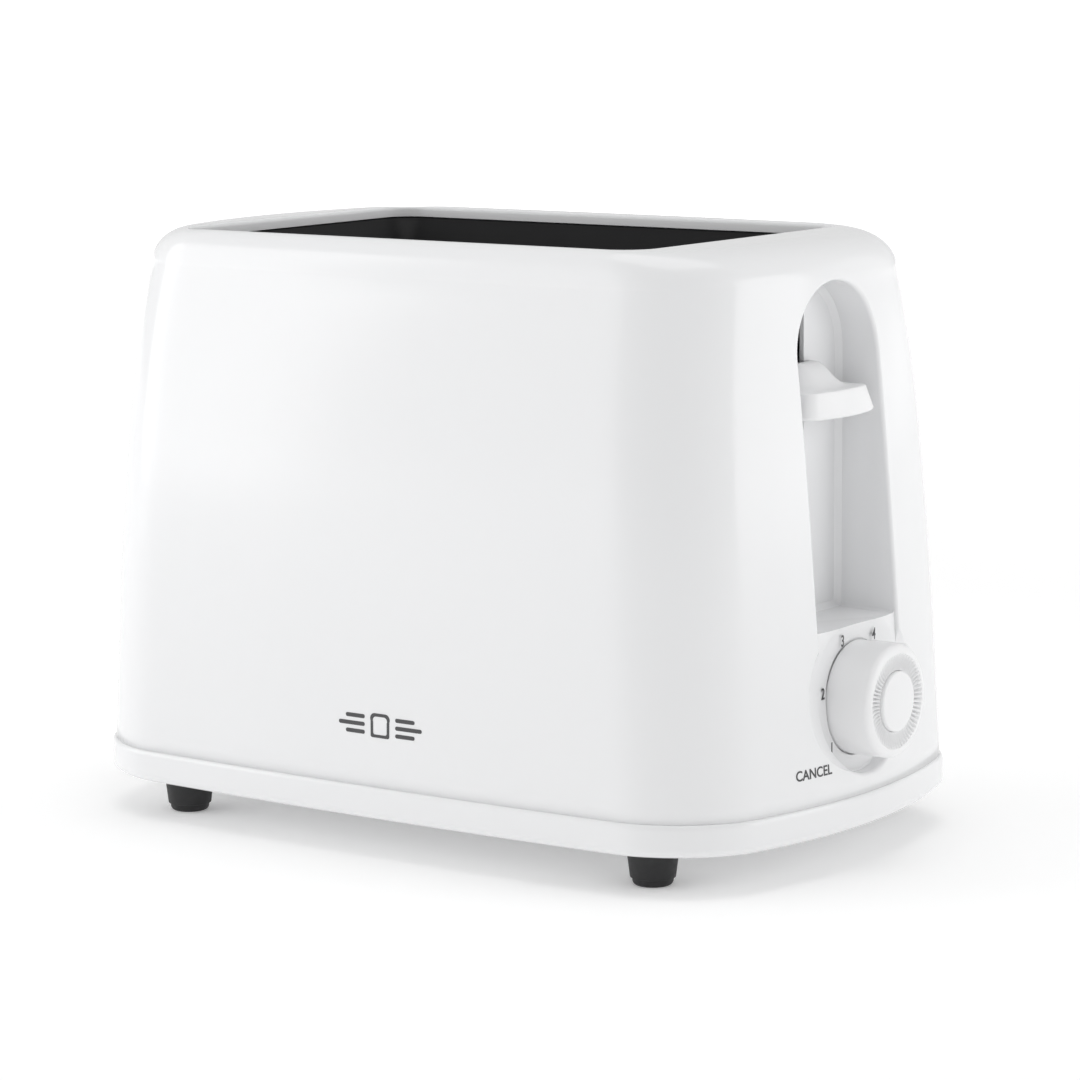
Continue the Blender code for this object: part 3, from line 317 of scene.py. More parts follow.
def body_numbers(z, inset=0.0):
    """(straight half length, straight half width, corner radius, end bow, side bow) at a height."""
    t = (min(z, BODY_TOP - TOP_FILLET_HEIGHT) - SEAM_Z) / (BODY_TOP - SEAM_Z)
    end = END_DRAFT * t + END_TUCK * t**8
    side = SIDE_DRAFT * t + SIDE_CURVE * t**3 + SIDE_TUCK * t**8
    above = max(z - (BODY_TOP - TOP_FILLET_HEIGHT), 0) / TOP_FILLET_HEIGHT
    round_in = 1 - math.sqrt(max(1 - above**2, 0))
    end_bow, side_bow = END_BOW * (1 - 0.3 * t), SIDE_BOW * (1 - 0.3 * t)
    half_length = SEAM_HALF_LENGTH - end - TOP_FILLET_END * round_in - inset - end_bow
    half_width = SEAM_HALF_WIDTH - side - TOP_FILLET_SIDE * round_in - inset - side_bow
    radius = max(CORNER_RADIUS - inset - TOP_FILLET_SIDE * round_in, 0.006)
    return half_length, half_width, radius, end_bow + END_BULGE * 4 * t * (1 - t), side_bow


def bowed(half_length, half_width, radius, end_bow, side_bow, steps, runs):
    """A rounded rectangle whose ends and sides swell by a parabola, with runs = (side, end) splits."""
    corners = rounded_rectangle(
        -half_length, -half_width, half_length, half_width, radius, steps
    )
    points = []
    for i, (x, y) in enumerate(corners):
        points.append((x, y))
        if i % (steps + 1) == steps:
            next_x, next_y = corners[(i + 1) % len(corners)]
            count = runs[1] if i // (steps + 1) % 2 == 0 else runs[0]
            points += [
                (x + (next_x - x) * k / count, y + (next_y - y) * k / count)
                for k in range(1, count)
            ]
    out = []
    for x, y in points:
        swell_x = end_bow * (1 - (y / half_width) ** 2) * abs(x) / half_length
        swell_y = side_bow * (1 - (x / half_length) ** 2) * abs(y) / half_width
        out.append((x + math.copysign(swell_x, x), y + math.copysign(swell_y, y)))
    return out


def body_ring(z, inset=0.0, steps=14, runs=(36, 26)):
    return [(x, y, z) for x, y in bowed(*body_numbers(z, inset), steps, runs)]


def end_x(y, z):
    """x of the +X end face at that place."""
    half_length, half_width, _, end_bow, _ = body_numbers(z)
    return half_length + end_bow * (1 - (y / half_width) ** 2)


def front_y(x, z):
    """y of the front face at that place."""
    half_length, half_width, _, _, side_bow = body_numbers(z)
    return -(half_width + side_bow * (1 - (x / half_length) ** 2))


def body_skin(name, rows=34, fillet_rows=18):
    shoulder = BODY_TOP - TOP_FILLET_HEIGHT
    heights = [SEAM_Z - SEAM_LAP] + [SEAM_Z + (shoulder - SEAM_Z) * k / rows for k in range(1, rows + 1)]
    turns = [math.pi / 2 * k / fillet_rows for k in range(1, fillet_rows + 1)]
    heights += [shoulder + TOP_FILLET_HEIGHT * math.sin(turn) for turn in turns]
    rings = [body_ring(z) for z in heights]
    return loft(name, rings)


# ---------------------------------------------------------------- cutters


def mouth_half_outline():
    """The right half of the recess and dial mouth, from bottom to top: (y, z, normal y, normal z)."""
    r = RECESS_HALF_WIDTH
    points = []
    for y, z in arc((0, DIAL_Z), r, -90, 0, 22):
        points.append((y, z, y / r, (z - DIAL_Z) / r))
    rise = RECESS_ARCH_CENTRE - DIAL_Z
    for k in range(1, 40):
        points.append((r, DIAL_Z + rise * k / 40, 1.0, 0.0))
    for y, z in arc((0, RECESS_ARCH_CENTRE), r, 0, 90, 22):
        points.append((y, z, y / r, (z - RECESS_ARCH_CENTRE) / r))
    return points


def mouth_flare():
    """A cutter that rounds over the mouth's edge, following the end face."""
    half = mouth_half_outline()
    steps, across = 9, 8
    levels = [(-0.006, RECESS_EDGE), (-0.0006, RECESS_EDGE)]
    for k in range(steps):
        turn = math.radians(90 * k / (steps - 1) * 0.97 + 1)
        levels.append((RECESS_EDGE * (1 - math.cos(turn)), RECESS_EDGE * (1 - math.sin(turn))))
    bm = bmesh.new()

    def vertex(side, y, z, depth):
        return bm.verts.new((end_x(y, z) - depth, side * y, z))

    rings = []
    for depth, grow in levels:
        right, left = [], []
        for i, (y, z, normal_y, normal_z) in enumerate(half):
            y_out, z_out = max(y + grow * normal_y, 0), z + grow * normal_z
            tip = i in (0, len(half) - 1)
            first = vertex(1, 0 if tip else y_out, z_out, depth)
            right.append(first)
            left.append(first if tip else vertex(-1, y_out, z_out, depth))
        rings.append((right, left))
    for lower, upper in zip(rings, rings[1:]):
        for side in (0, 1):
            for i in range(len(half) - 1):
                bm.faces.new((lower[side][i], lower[side][i + 1], upper[side][i + 1], upper[side][i]))
    for (right, left), (depth, _) in ((rings[0], levels[0]), (rings[-1], levels[-1])):
        rows = []
        for first, second in zip(left, right):
            if first is second:
                rows.append([first])
                continue
            y, z = second.co.y, second.co.z
            inner = [
                bm.verts.new((end_x(y * t, z) - depth, y * t, z))
                for t in (2 * k / across - 1 for k in range(1, across))
            ]
            rows.append([first] + inner + [second])
        for lower, upper in zip(rows, rows[1:]):
            for k in range(across):
                corners = [lower[min(k, len(lower) - 1)], lower[min(k + 1, len(lower) - 1)]]
                corners += [upper[min(k + 1, len(upper) - 1)], upper[min(k, len(upper) - 1)]]
                unique = list(dict.fromkeys(corners))
                if len(unique) > 2:
                    bm.faces.new(unique)
    return from_bmesh("mouth_flare", bm)


def arch(shrink, floor):
    """The recess's outline: an arch on a floor with small corners."""
    r = RECESS_HALF_WIDTH - shrink
    low = floor + shrink
    corner = RECESS_FLOOR_CORNER
    points = arc((-r + corner, low + corner), corner, 180, 270, 4)
    points += arc((r - corner, low + corner), corner, 270, 360, 4)
    points += arc((0, RECESS_ARCH_CENTRE), r, 0, 180, 44)
    return points


def recess_cutter():
    """The recess, with a slanting strip where its walls meet the back, and a floor that falls outwards."""
    rings = [(RECESS_BACK, RECESS_CORNER), (RECESS_BACK + RECESS_CORNER, 0.0), (BEYOND, 0.0)]
    loops = []
    for x, shrink in rings:
        floor = RECESS_FLOOR + RECESS_FLOOR_FALL * (PANEL_FACE - x) / (PANEL_FACE - RECESS_BACK)
        loops.append([(x, y, z) for y, z in arch(shrink, floor)])
    return loft("recess_cutter", loops)


def panel_cutter():
    """The sunk panel round the dial, which runs up into the recess."""
    r = RECESS_HALF_WIDTH
    top = RECESS_FLOOR + PANEL_OVERLAP
    outline = arc((0, DIAL_Z), r, 180, 360, 44) + [(r, top), (-r, top)]
    loops = []
    for x, shrink in ((PANEL_FACE, PANEL_EDGE), (PANEL_FACE + PANEL_EDGE, 0.0), (BEYOND, 0.0)):
        scale = 1 - shrink / r
        loops.append([(x, y * scale, DIAL_Z + (z - DIAL_Z) * scale) for y, z in outline])
    return loft("panel_cutter", loops)


def scoop_cutter():
    """A shallow hollow on each side of the knob for the finger and thumb."""
    bm = bmesh.new()
    bmesh.ops.create_uvsphere(bm, u_segments=72, v_segments=48, radius=1)
    move = Matrix.Translation(SCOOP_CENTRE) @ Matrix.Diagonal((*SCOOP_HALF_SIZES, 1))
    bmesh.ops.transform(bm, matrix=move, verts=bm.verts)
    for vert in bm.verts:
        vert.co.x -= SCOOP_SLANT * (vert.co.z - SCOOP_CENTRE[2])
    return from_bmesh("scoop_cutter", bm)


def opening_cutter():
    """The top opening, with a rounded lip."""

    def ring(z, grow):
        return grown_ring(OPENING, grow, OPENING_RADIUS + grow, z, 12)

    rings = [ring(BODY_TOP - 0.012, 0.0)]
    for k in range(9):
        turn = math.radians(88 - 86 * k / 8)
        depth = OPENING_LIP * (1 - math.cos(turn))
        rings.append(ring(BODY_TOP - depth, OPENING_LIP * (1 - math.sin(turn))))
    rings.append(ring(BODY_TOP + 0.002, OPENING_LIP))
    return loft("opening_cutter", rings)


def hollow_cutter():
    """The room inside the shell, less the walls of the recess and the panel."""
    top = BODY_TOP - TOP_WALL
    heights = [SEAM_Z - 0.001, 0.060, 0.100, 0.140, 0.165, 0.172, top - 0.001]
    rings = [body_ring(z, SHELL_WALL, 8, (12, 8)) for z in heights]
    rings.append(body_ring(top, SHELL_WALL + 0.0006, 8, (12, 8)))
    hollow = loft("hollow", rings)
    r = RECESS_HALF_WIDTH + RECESS_WALL
    low = RECESS_FLOOR - RECESS_WALL
    block = arc((0, RECESS_ARCH_CENTRE), r, 0, 180, 24) + [(-r, low), (r, low)]
    x_low = RECESS_BACK - RECESS_WALL
    boolean(hollow, loft("block", [[(x, y, z) for y, z in block] for x in (x_low, BEYOND)]))
    block = arc((0, DIAL_Z), r, 180, 360, 24) + [(r, RECESS_FLOOR), (-r, RECESS_FLOOR)]
    x_low = PANEL_FACE - PANEL_WALL
    return boolean(hollow, loft("block", [[(x, y, z) for y, z in block] for x in (x_low, BEYOND)]))


def tube_cutter(start, end, radius):
    """A plain cylinder between two places."""
    start, end = Vector(start), Vector(end)
    along = end - start
    bm = bmesh.new()
    bmesh.ops.create_cone(
        bm, cap_ends=True, segments=48, radius1=radius, radius2=radius, depth=along.length
    )
    turn = along.to_track_quat("Z", "Y").to_matrix().to_4x4()
    bmesh.ops.transform(bm, matrix=Matrix.Translation((start + end) / 2) @ turn, verts=bm.verts)
    return from_bmesh("tube", bm)


# ---------------------------------------------------------------- materials


def node_material(name, colour, roughness, metallic=0.0, **sockets):
    """A Principled material. Returns it with its node tree, its shader and its object coordinates."""
    made = bpy.data.materials.new(name)
    made.use_nodes = True
    made.diffuse_color = (*colour, 1)
    tree = made.node_tree
    shader = tree.nodes["Principled BSDF"]
    shader.inputs["Base Color"].default_value = (*colour, 1)
    shader.inputs["Roughness"].default_value = roughness
    shader.inputs["Metallic"].default_value = metallic
    for socket, value in sockets.items():
        shader.inputs[socket.replace("_", " ")].default_value = value
    place = tree.nodes.new("ShaderNodeTexCoord").outputs["Object"]
    return made, tree, shader, place


def noise(tree, place, scale, detail=3.0, stretch=(1, 1, 1)):
    """A noise texture's 0 to 1 value."""
    mapping = tree.nodes.new("ShaderNodeMapping")
    mapping.inputs["Scale"].default_value = stretch
    tree.links.new(place, mapping.inputs["Vector"])
    texture = tree.nodes.new("ShaderNodeTexNoise")
    texture.inputs["Scale"].default_value = scale
    texture.inputs["Detail"].default_value = detail
    tree.links.new(mapping.outputs["Vector"], texture.inputs["Vector"])
    return texture.outputs["Fac"]


def number_ramp(tree, source, target, low, high, start=0.0, end=1.0):
    """Maps a value between start and end onto a number socket between low and high."""
    made = tree.nodes.new("ShaderNodeMapRange")
    for name, value in (("From Min", start), ("From Max", end), ("To Min", low), ("To Max", high)):
        made.inputs[name].default_value = value
    tree.links.new(source, made.inputs["Value"])
    tree.links.new(made.outputs["Result"], target)


def colour_ramp(tree, source, target, low, high):
    """Mixes two colours by a 0 to 1 value."""
    mix = tree.nodes.new("ShaderNodeMix")
    mix.data_type = "RGBA"
    mix.inputs[6].default_value = (*low, 1)
    mix.inputs[7].default_value = (*high, 1)
    tree.links.new(source, mix.inputs[0])
    tree.links.new(mix.outputs[2], target)


def colour_and_gloss(tree, shader, tint, low, high, gloss, rough_low, rough_high):
    """Colour from one 0 to 1 value and roughness from another."""
    colour_ramp(tree, tint, shader.inputs["Base Color"], low, high)
    number_ramp(tree, gloss, shader.inputs["Roughness"], rough_low, rough_high)


def bump(tree, shader, height, strength, distance):
    """Adds a bump from a 0 to 1 value to the shader."""
    made = tree.nodes.new("ShaderNodeBump")
    made.inputs["Strength"].default_value = strength
    made.inputs["Distance"].default_value = distance
    tree.links.new(height, made.inputs["Height"])
    tree.links.new(made.outputs["Normal"], shader.inputs["Normal"])


def white_plastic(name, low, high, rough_low, rough_high):
    """Moulded gloss plastic: a faint flow variation, uneven gloss and a very fine ripple."""
    made, tree, shader, place = node_material(name, high, rough_low, IOR=1.48)
    flow, gloss = noise(tree, place, 14.0, 2.0), noise(tree, place, 60.0, 4.0)
    colour_and_gloss(tree, shader, flow, low, high, gloss, rough_low, rough_high)
    bump(tree, shader, noise(tree, place, 420.0, 2.0), 0.05, 0.00006)
    return made


def metal(name, low, high, rough_low, rough_high, stretch=(1, 1, 1), scale=180.0):
    """Sheet metal with rolled streaks and a mottled gloss."""
    made, tree, shader, place = node_material(name, high, rough_low, 1.0)
    streaks = noise(tree, place, scale, 5.0, stretch)
    mottle = noise(tree, place, scale * 0.6, 3.0)
    colour_and_gloss(tree, shader, streaks, low, high, mottle, rough_low, rough_high)
    bump(tree, shader, streaks, 0.15, 0.00005)
    return made


def grainy(name, low, high, rough_low, rough_high, scale=900.0, depth=0.0001, specular=0.5):
    """A matt surface with a fine grain, for rubber, coating, moulded plastic and mica."""
    made, tree, shader, place = node_material(name, high, rough_low, Specular_IOR_Level=specular)
    grain = noise(tree, place, scale, 4.0)
    cloud = noise(tree, place, scale * 0.05, 3.0)
    colour_and_gloss(tree, shader, cloud, low, high, grain, rough_low, rough_high)
    bump(tree, shader, grain, 0.3, depth)
    return made


def make_materials():
    """Each look: its kind, its name, two colours, two roughnesses and what else it needs."""
    looks = {
        "housing": (white_plastic, "housing_plastic", (0.845, 0.85, 0.86), (0.86, 0.862, 0.868), 0.14, 0.19),
        "knob": (white_plastic, "knob_plastic", (0.86, 0.862, 0.87), (0.875, 0.877, 0.882), 0.26, 0.34),
        "rubber": (grainy, "foot_rubber", (0.012, 0.012, 0.013), (0.022, 0.022, 0.023), 0.48, 0.68),
        "coating": (
            grainy, "black_coating", (0.006, 0.006, 0.0065), (0.010, 0.010, 0.011), 0.42, 0.55,
            1500.0, 0.00005, 0.16,
        ),
        "galvanised": (metal, "galvanised_steel", (0.50, 0.51, 0.52), (0.68, 0.69, 0.70), 0.28, 0.45),
        "bright": (
            metal, "bright_steel", (0.62, 0.62, 0.62), (0.78, 0.78, 0.77), 0.16, 0.28, (0.1, 1, 1), 300.0
        ),
        "mica": (
            grainy, "mica_board", (0.44, 0.38, 0.29), (0.62, 0.56, 0.45), 0.45, 0.70, 500.0, 0.00008
        ),
        "nichrome": (
            metal, "nichrome_ribbon", (0.22, 0.19, 0.17), (0.40, 0.36, 0.33), 0.35, 0.5, (0.05, 1, 1), 900.0
        ),
        "copper": (
            metal, "copper_winding", (0.50, 0.20, 0.08), (0.72, 0.34, 0.16), 0.3, 0.45, (1, 1, 30)
        ),
        "board": (
            grainy, "circuit_board", (0.02, 0.13, 0.05), (0.05, 0.22, 0.10), 0.35, 0.5, 700.0, 0.00004
        ),
        "black": (grainy, "black_plastic", (0.015, 0.015, 0.016), (0.03, 0.03, 0.032), 0.4, 0.55),
        "print": (
            grainy, "dark_print", (0.055, 0.055, 0.058), (0.075, 0.075, 0.078), 0.45, 0.6, 2500.0, 0.00001
        ),
    }
    return {look: kind(*numbers) for look, (kind, *numbers) in looks.items()}


MATERIALS = make_materials()


def dress(obj, look, slot, body, *replaced):
    """Gives a piece its material and body, and hides the CAD nodes that it stands for. The slot argument is
    not used.
    """
    obj.data.materials.clear()
    obj.data.materials.append(MATERIALS[look])
    if replaced:
        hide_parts(*replaced)
    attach(obj, body)
    return obj


# ---------------------------------------------------------------- pieces


def housing():
    """The white shell: hollow inside, with the recess, the dial panel and the top opening cut in."""
    skin = body_skin("housing_skin")
    shell = new_object("housing_shell", skin.data.copy())
    cutters = (hollow_cutter, recess_cutter, panel_cutter, scoop_cutter, mouth_flare, opening_cutter)
    for cutter in cutters:
        boolean(shell, cutter())
    reach = 0.006
    slot = box(
        "slot",
        (RECESS_BACK - reach, -LEVER_SLOT_HALF_WIDTH, LEVER_SLOT_LOW),
        (RECESS_BACK + reach, LEVER_SLOT_HALF_WIDTH, LEVER_SLOT_HIGH),
    )
    boolean(shell, slot)
    for depth, radius in ((0.010, SHAFT_HOLE_RADIUS), (KNOB_WELL_DEPTH, KNOB_WELL_RADIUS)):
        boolean(shell, tube_cutter((PANEL_FACE - depth, 0, DIAL_Z), (BEYOND, 0, DIAL_Z), radius))
    x, _, z = centre_of("cord_gland")
    x -= MIDDLE_X
    inside, outside = 0.050, 0.090
    boolean(shell, tube_cutter((x, inside, z), (x, outside, z), GLAND_HOLE_RADIUS))
    smooth(shell, 32)
    keep_skin_normals(shell, skin)
    bpy.data.objects.remove(skin)
    dress(shift_to_frame(shell), "housing", "white_plastic", "chassis", "housing")


def base_ring(z, inset=0.0, steps=14, runs=(36, 26)):
    """The base's outline at a height, drawn in where its bottom edge rounds under."""
    rise = min(max(z - BASE_BOTTOM, 0), BASE_EDGE)
    edge = BASE_EDGE - math.sqrt(max(BASE_EDGE**2 - (BASE_EDGE - rise) ** 2, 0))
    half_length = SEAM_HALF_LENGTH + BASE_PROUD - END_BOW - edge - inset
    half_width = SEAM_HALF_WIDTH + BASE_PROUD - SIDE_BOW - edge - inset
    outline = bowed(half_length, half_width, CORNER_RADIUS, END_BOW, SIDE_BOW, steps, runs)
    return [(x, y, z) for x, y in outline]


def base_skin(name, rim):
    """The base uncut, with a rounded bottom edge and a rounded rim."""
    heights = [BASE_BOTTOM + BASE_EDGE * (1 - math.cos(math.radians(a))) for a in range(0, 91, 9)]
    low, high = BASE_BOTTOM + BASE_EDGE, rim - BASE_RIM_ROUND
    heights += [low + (high - low) * k / 3 for k in (1, 2, 3)]
    rings = [base_ring(z) for z in heights]
    for k in range(1, 5):
        turn = math.radians(90 * k / 4)
        rings.append([
            (x, y, high + BASE_RIM_ROUND * math.sin(turn))
            for x, y, _ in base_ring(rim, BASE_PROUD * (1 - math.cos(turn)))
        ])
    return loft(name, rings)


def base():
    """The white base band, with the tray's doorway, vents and screw holes."""
    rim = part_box("base")[1][2]
    floor = BASE_BOTTOM + BASE_FLOOR
    skin = base_skin("base_skin", rim)
    band = new_object("base_band", skin.data.copy())
    rings = [base_ring(z, BASE_WALL, 8, (12, 8)) for z in (floor + BASE_EDGE, rim + THROUGH)]
    inner = [[(x, y, floor) for x, y, _ in rings[0]], rings[1]]
    boolean(band, loft("base_hollow", inner))
    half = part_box("crumb_tray")[1][1] + DOORWAY_GAP
    doorway = box("doorway", (-BEYOND, -half, floor), (DOORWAY_DEPTH - BEYOND, half, rim + THROUGH))
    boolean(band, doorway)
    under, over = BASE_BOTTOM - THROUGH, floor + THROUGH
    for i in range(VENTS_IN_ROW):
        x = VENT_PITCH * (i - (VENTS_IN_ROW - 1) / 2)
        for y in (-VENT_ROW_Y, VENT_ROW_Y):
            outline = rounded_rectangle(
                x - VENT_HALF_WIDTH, y - VENT_HALF_LENGTH,
                x + VENT_HALF_WIDTH, y + VENT_HALF_LENGTH, VENT_RADIUS, 4,
            )
            boolean(band, loft("vent", [[(u, v, z) for u, v in outline] for z in (under, over)]))
    for node in SCREWS:
        x, y, _ = centre_of(node)
        x -= MIDDLE_X
        boolean(band, tube_cutter((x, y, under), (x, y, over), SCREW_HOLE_RADIUS))
        boolean(band, tube_cutter((x, y, under), (x, y, BASE_BOTTOM + SCREW_HEAD_DEPTH), SCREW_HEAD_RADIUS))
    smooth(band, 32)
    keep_skin_normals(band, skin)
    bpy.data.objects.remove(skin)
    dress(shift_to_frame(band), "housing", "white_plastic", "chassis", "base")


CORNERS = [f"{side}_{end}" for side in ("front", "back") for end in ("left", "right")]
FEET = ["foot_" + corner for corner in CORNERS]
SCREWS = ["base_screw_" + corner for corner in CORNERS]


def feet():
    """Tapered rubber feet with a rounded, stepped sole and a collar where they meet the base."""
    for node in FEET:
        low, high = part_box(node)
        x, y, _ = centre_of(node)
        centre = (x, y, 0)
        top = high[2]
        radius = (high[0] - low[0]) / 2
        sole = radius * 0.75
        sole_edge, top_edge = 0.0014, 0.0003
        profile = [(0, 0.0), (sole * 0.6, 0.0)]
        profile += arc((sole - sole_edge, sole_edge), sole_edge, -90, 0, 9)
        profile += [(sole + 0.0001, 0.0022), (sole + 0.0007, 0.0024)]
        profile += [(radius * 0.94, top * 0.78), (radius * 0.985, top * 0.86)]
        profile += [(radius, top * 0.90), (radius, top - top_edge), (radius - top_edge, top), (0, top)]
        foot = smooth(lathe(node + "_rubber", profile, "Z", centre, 56), 40)
        dress(foot, "rubber", "black_rubber", "chassis", node)


def slot_plate():
    """The black pressed plate: a sloping bowl whose floor holds two collared bread slots."""
    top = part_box("slot_plate")[1][2]
    floor = SLOT_PLATE_FLOOR
    sheet, edge, flange_reach = 0.0010, 0.0009, 0.0013

    def ring(z, grow, radius):
        return grown_ring(OPENING, grow, max(radius, 0.003), z, 10)

    inner = []
    fillet, slope, last = 0.003, 0.0055, math.radians(70)
    for k in range(7):
        turn = last * k / 6
        grow = -slope - fillet * (1 - math.sin(turn) / math.sin(last))
        rise = fillet * (1 - math.cos(turn))
        inner.append(ring(floor + sheet + rise, grow, OPENING_RADIUS - slope))
    inner.append(ring(top - 0.0004, -0.0002, OPENING_RADIUS))
    inner.append(ring(top, 0.0002, OPENING_RADIUS))
    outside = [ring(z, flange_reach, OPENING_RADIUS + sheet) for z in (top, top - sheet)]
    outside.append(ring(top - sheet, 0.0008, OPENING_RADIUS))
    outside.append(ring(floor + fillet, -slope + sheet, OPENING_RADIUS - slope))
    outside.append(ring(floor, -slope + sheet - fillet, OPENING_RADIUS - slope))
    plate = loft("slot_plate_bowl", inner + outside)
    for side in (-1, 1):
        y = side * SLOT_CENTRE
        edges = (-SLOT_HALF_LENGTH, y - SLOT_HALF_WIDTH, SLOT_HALF_LENGTH, y + SLOT_HALF_WIDTH)

        def slot_ring(z, grow):
            return grown_ring(edges, grow, 0.003 + grow, z, 6)

        collar = loft("collar", [slot_ring(floor - 0.003, sheet), slot_ring(floor + sheet / 2, sheet)])
        boolean(plate, collar, "UNION")
        rings = [slot_ring(floor - 0.006, 0)]
        for k in range(7):
            turn = math.radians(88 - 86 * k / 6)
            z = floor + sheet - edge * (1 - math.cos(turn))
            rings.append(slot_ring(z, edge * (1 - math.sin(turn))))
        rings.append(slot_ring(floor + 0.004, edge))
        boolean(plate, loft("slot", rings))
    smooth(plate, 30)
    dress(shift_to_frame(plate), "coating", "black_coated_steel", "chassis", "slot_plate")


def wire(name, runs, radius, resolution=5):
    """One mesh of round wires, each given as a list of points."""
    curve = bpy.data.curves.new(name, "CURVE")
    curve.dimensions = "3D"
    curve.bevel_depth = radius
    curve.bevel_resolution = resolution
    curve.use_fill_caps = True
    for points in runs:
        spline = curve.splines.new("POLY")
        spline.points.add(len(points) - 1)
        for point, place in zip(spline.points, points):
            point.co = (*place, 1)
    return smooth(from_curve(name, curve), 50)


def guards():
    """Wire grilles: upright wires with a bent foot and head, and two long wires."""
    half, radius, uprights = 0.0695, 0.00045, 14
    for slot in ("front", "back"):
        for edge in ("outer", "inner"):
            body = f"guard_{slot}_{edge}"
            node = "bread_" + body
            low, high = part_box(node)
            middle, y, _ = centre_of(node)
            pivot = low[2] + 0.001
            rail = high[2] - 0.004
            runs = [
                [(low[0] + 0.0003, y, pivot), (high[0] - 0.0003, y, pivot)],
                [(middle - half, y, rail), (middle + half, y, rail)],
            ]
            side = (1 if edge == "outer" else -1) * (1 if slot == "back" else -1)
            inward = y - side * 0.0004
            first, last = middle - half + 0.003, middle + half - 0.003
            for k in range(uprights):
                x = first + (last - first) * k / (uprights - 1)
                runs.append([
                    (x, y + side * 0.0002, pivot),
                    (x, inward, pivot + 0.004),
                    (x, inward, high[2] - 0.006),
                    (x, y, high[2] - 0.001),
                ])
            dress(wire(node + "_wires", runs, radius), "bright", "bright_steel", body, node)


def elements():
    """The heating ribbons: many flat, slightly uneven runs across the face of each mica board."""
    count, bends, flatness = 26, 14, 0.22
    for place in ("front", "middle_front", "middle_back", "back"):
        node = "heating_ribbon_" + place
        low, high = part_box(node)
        y = centre_of(node)[1]
        runs = []
        for k in range(count):
            z = low[2] + 0.0005 + (high[2] - low[2] - 0.001) * k / (count - 1)
            runs.append([
                (low[0] + (high[0] - low[0]) * j / bends, y, z + 0.00025 * math.sin(j * 0.9 + k * 1.7))
                for j in range(bends + 1)
            ])
        ribbons = wire(node + "_winding", runs, 0.0005, 1)
        for v in ribbons.data.vertices:
            v.co.y = y + (v.co.y - y) * flatness
        dress(ribbons, "nichrome", "nichrome_ribbon", "chassis", node)


def lever():
    """The lever paddle: a curved lip that leans back, a hollowed shelf and a hump at the back."""
    low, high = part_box("lever_knob")
    back, front = low[0] - MIDDLE_X, high[0] - MIDDLE_X
    half = high[1]
    bottom, top = low[2], high[2] + 0.0004
    shelf = bottom + 0.0080
    sag, corner, back_edge = 0.0036, 0.0042, 0.001
    radius = (half**2 + sag**2) / (2 * sag)
    spread = math.degrees(math.asin((half - corner) / radius))
    lip = arc((front - radius, 0), radius, -spread, spread, 24)
    lip_x, lip_y = lip[-1]
    plan = []
    start = math.radians(spread)
    for k in range(1, 13):
        turn = math.radians(spread + (90 - spread) * k / 12)
        plan.append((
            lip_x + corner * (math.cos(turn) - math.cos(start)),
            lip_y + (half - lip_y) * (math.sin(turn) - math.sin(start)) / (1 - math.sin(start)),
        ))
    side_x = plan[-1][0]
    side_run = [(side_x - (side_x - back - back_edge) * k / 8, half) for k in range(1, 9)]
    back_corner = arc((back + back_edge, half - back_edge), back_edge, 90, 180, 4)[1:]
    right = plan + side_run + back_corner
    back_run = [(back, (half - back_edge) * (1 - k / 14)) for k in range(1, 28)]
    left = [(x, -y) for x, y in reversed(right)]
    outline = right + back_run + left + lip

    def rise(x, y):
        """Height of the hump above the shelf, less the hollow in the shelf."""
        hump = (1 - smooth_step((abs(y) - 0.0042) / 0.0090)) * (1 - smooth_step((x - back - 0.0020) / 0.0095))
        hollow = 0.0005 * math.sin(math.pi * min(max((x - back) / (front - back), 0), 1))
        return (top - shelf) * hump - hollow * (1 - hump)

    def ring(scale, z, lean=0.0, lift=0.0, shrink=0.0):
        """The outline scaled about the back's middle, leaning in, lifted by the hump, or drawn in."""
        points = []
        for x, y in outline:
            u = back + (x - back) * scale * (1 - 0.0016 * lean / (front - back))
            v = y * scale * (1 - 0.0022 * lean / half)
            away = Vector((x - (back + front) / 2, y * 0.5)).normalized()
            u, v = max(u - away.x * shrink, back), v - away.y * shrink
            points.append((u, v, z + lift * rise(u, v)))
        return points

    edge_low, edge_high = 0.0010, 0.0008
    rings = [ring(0.02, bottom), ring(0.5, bottom), ring(0.8, bottom)]
    for k in range(6):
        turn = math.radians(90 * k / 5)
        shrink = edge_low * (1 - math.sin(turn))
        rings.append(ring(1, bottom + edge_low * (1 - math.cos(turn)), shrink=shrink))
    for k in range(7):
        turn = math.radians(90 * k / 6)
        lift, shrink = math.sin(turn), edge_high * (1 - math.cos(turn))
        z = shelf - edge_high * (1 - lift)
        plain, raised = ring(1, z, 1, 0, shrink), ring(1, z, 1, 1, shrink)
        rings.append([
            b if k and b[0] < back + 0.0012 else (a[0], a[1], a[2] + (b[2] - a[2]) * lift)
            for a, b in zip(plain, raised)
        ])
    for k in range(1, 26):
        scale = 1 - k / 26
        rings.append(ring(scale, shelf, 1, 1, edge_high * scale))
    paddle = loft("lever_paddle", rings)
    smooth(paddle, 50)
    dress(shift_to_frame(paddle), "knob", "knob_plastic", "lever_carriage", "lever_knob")


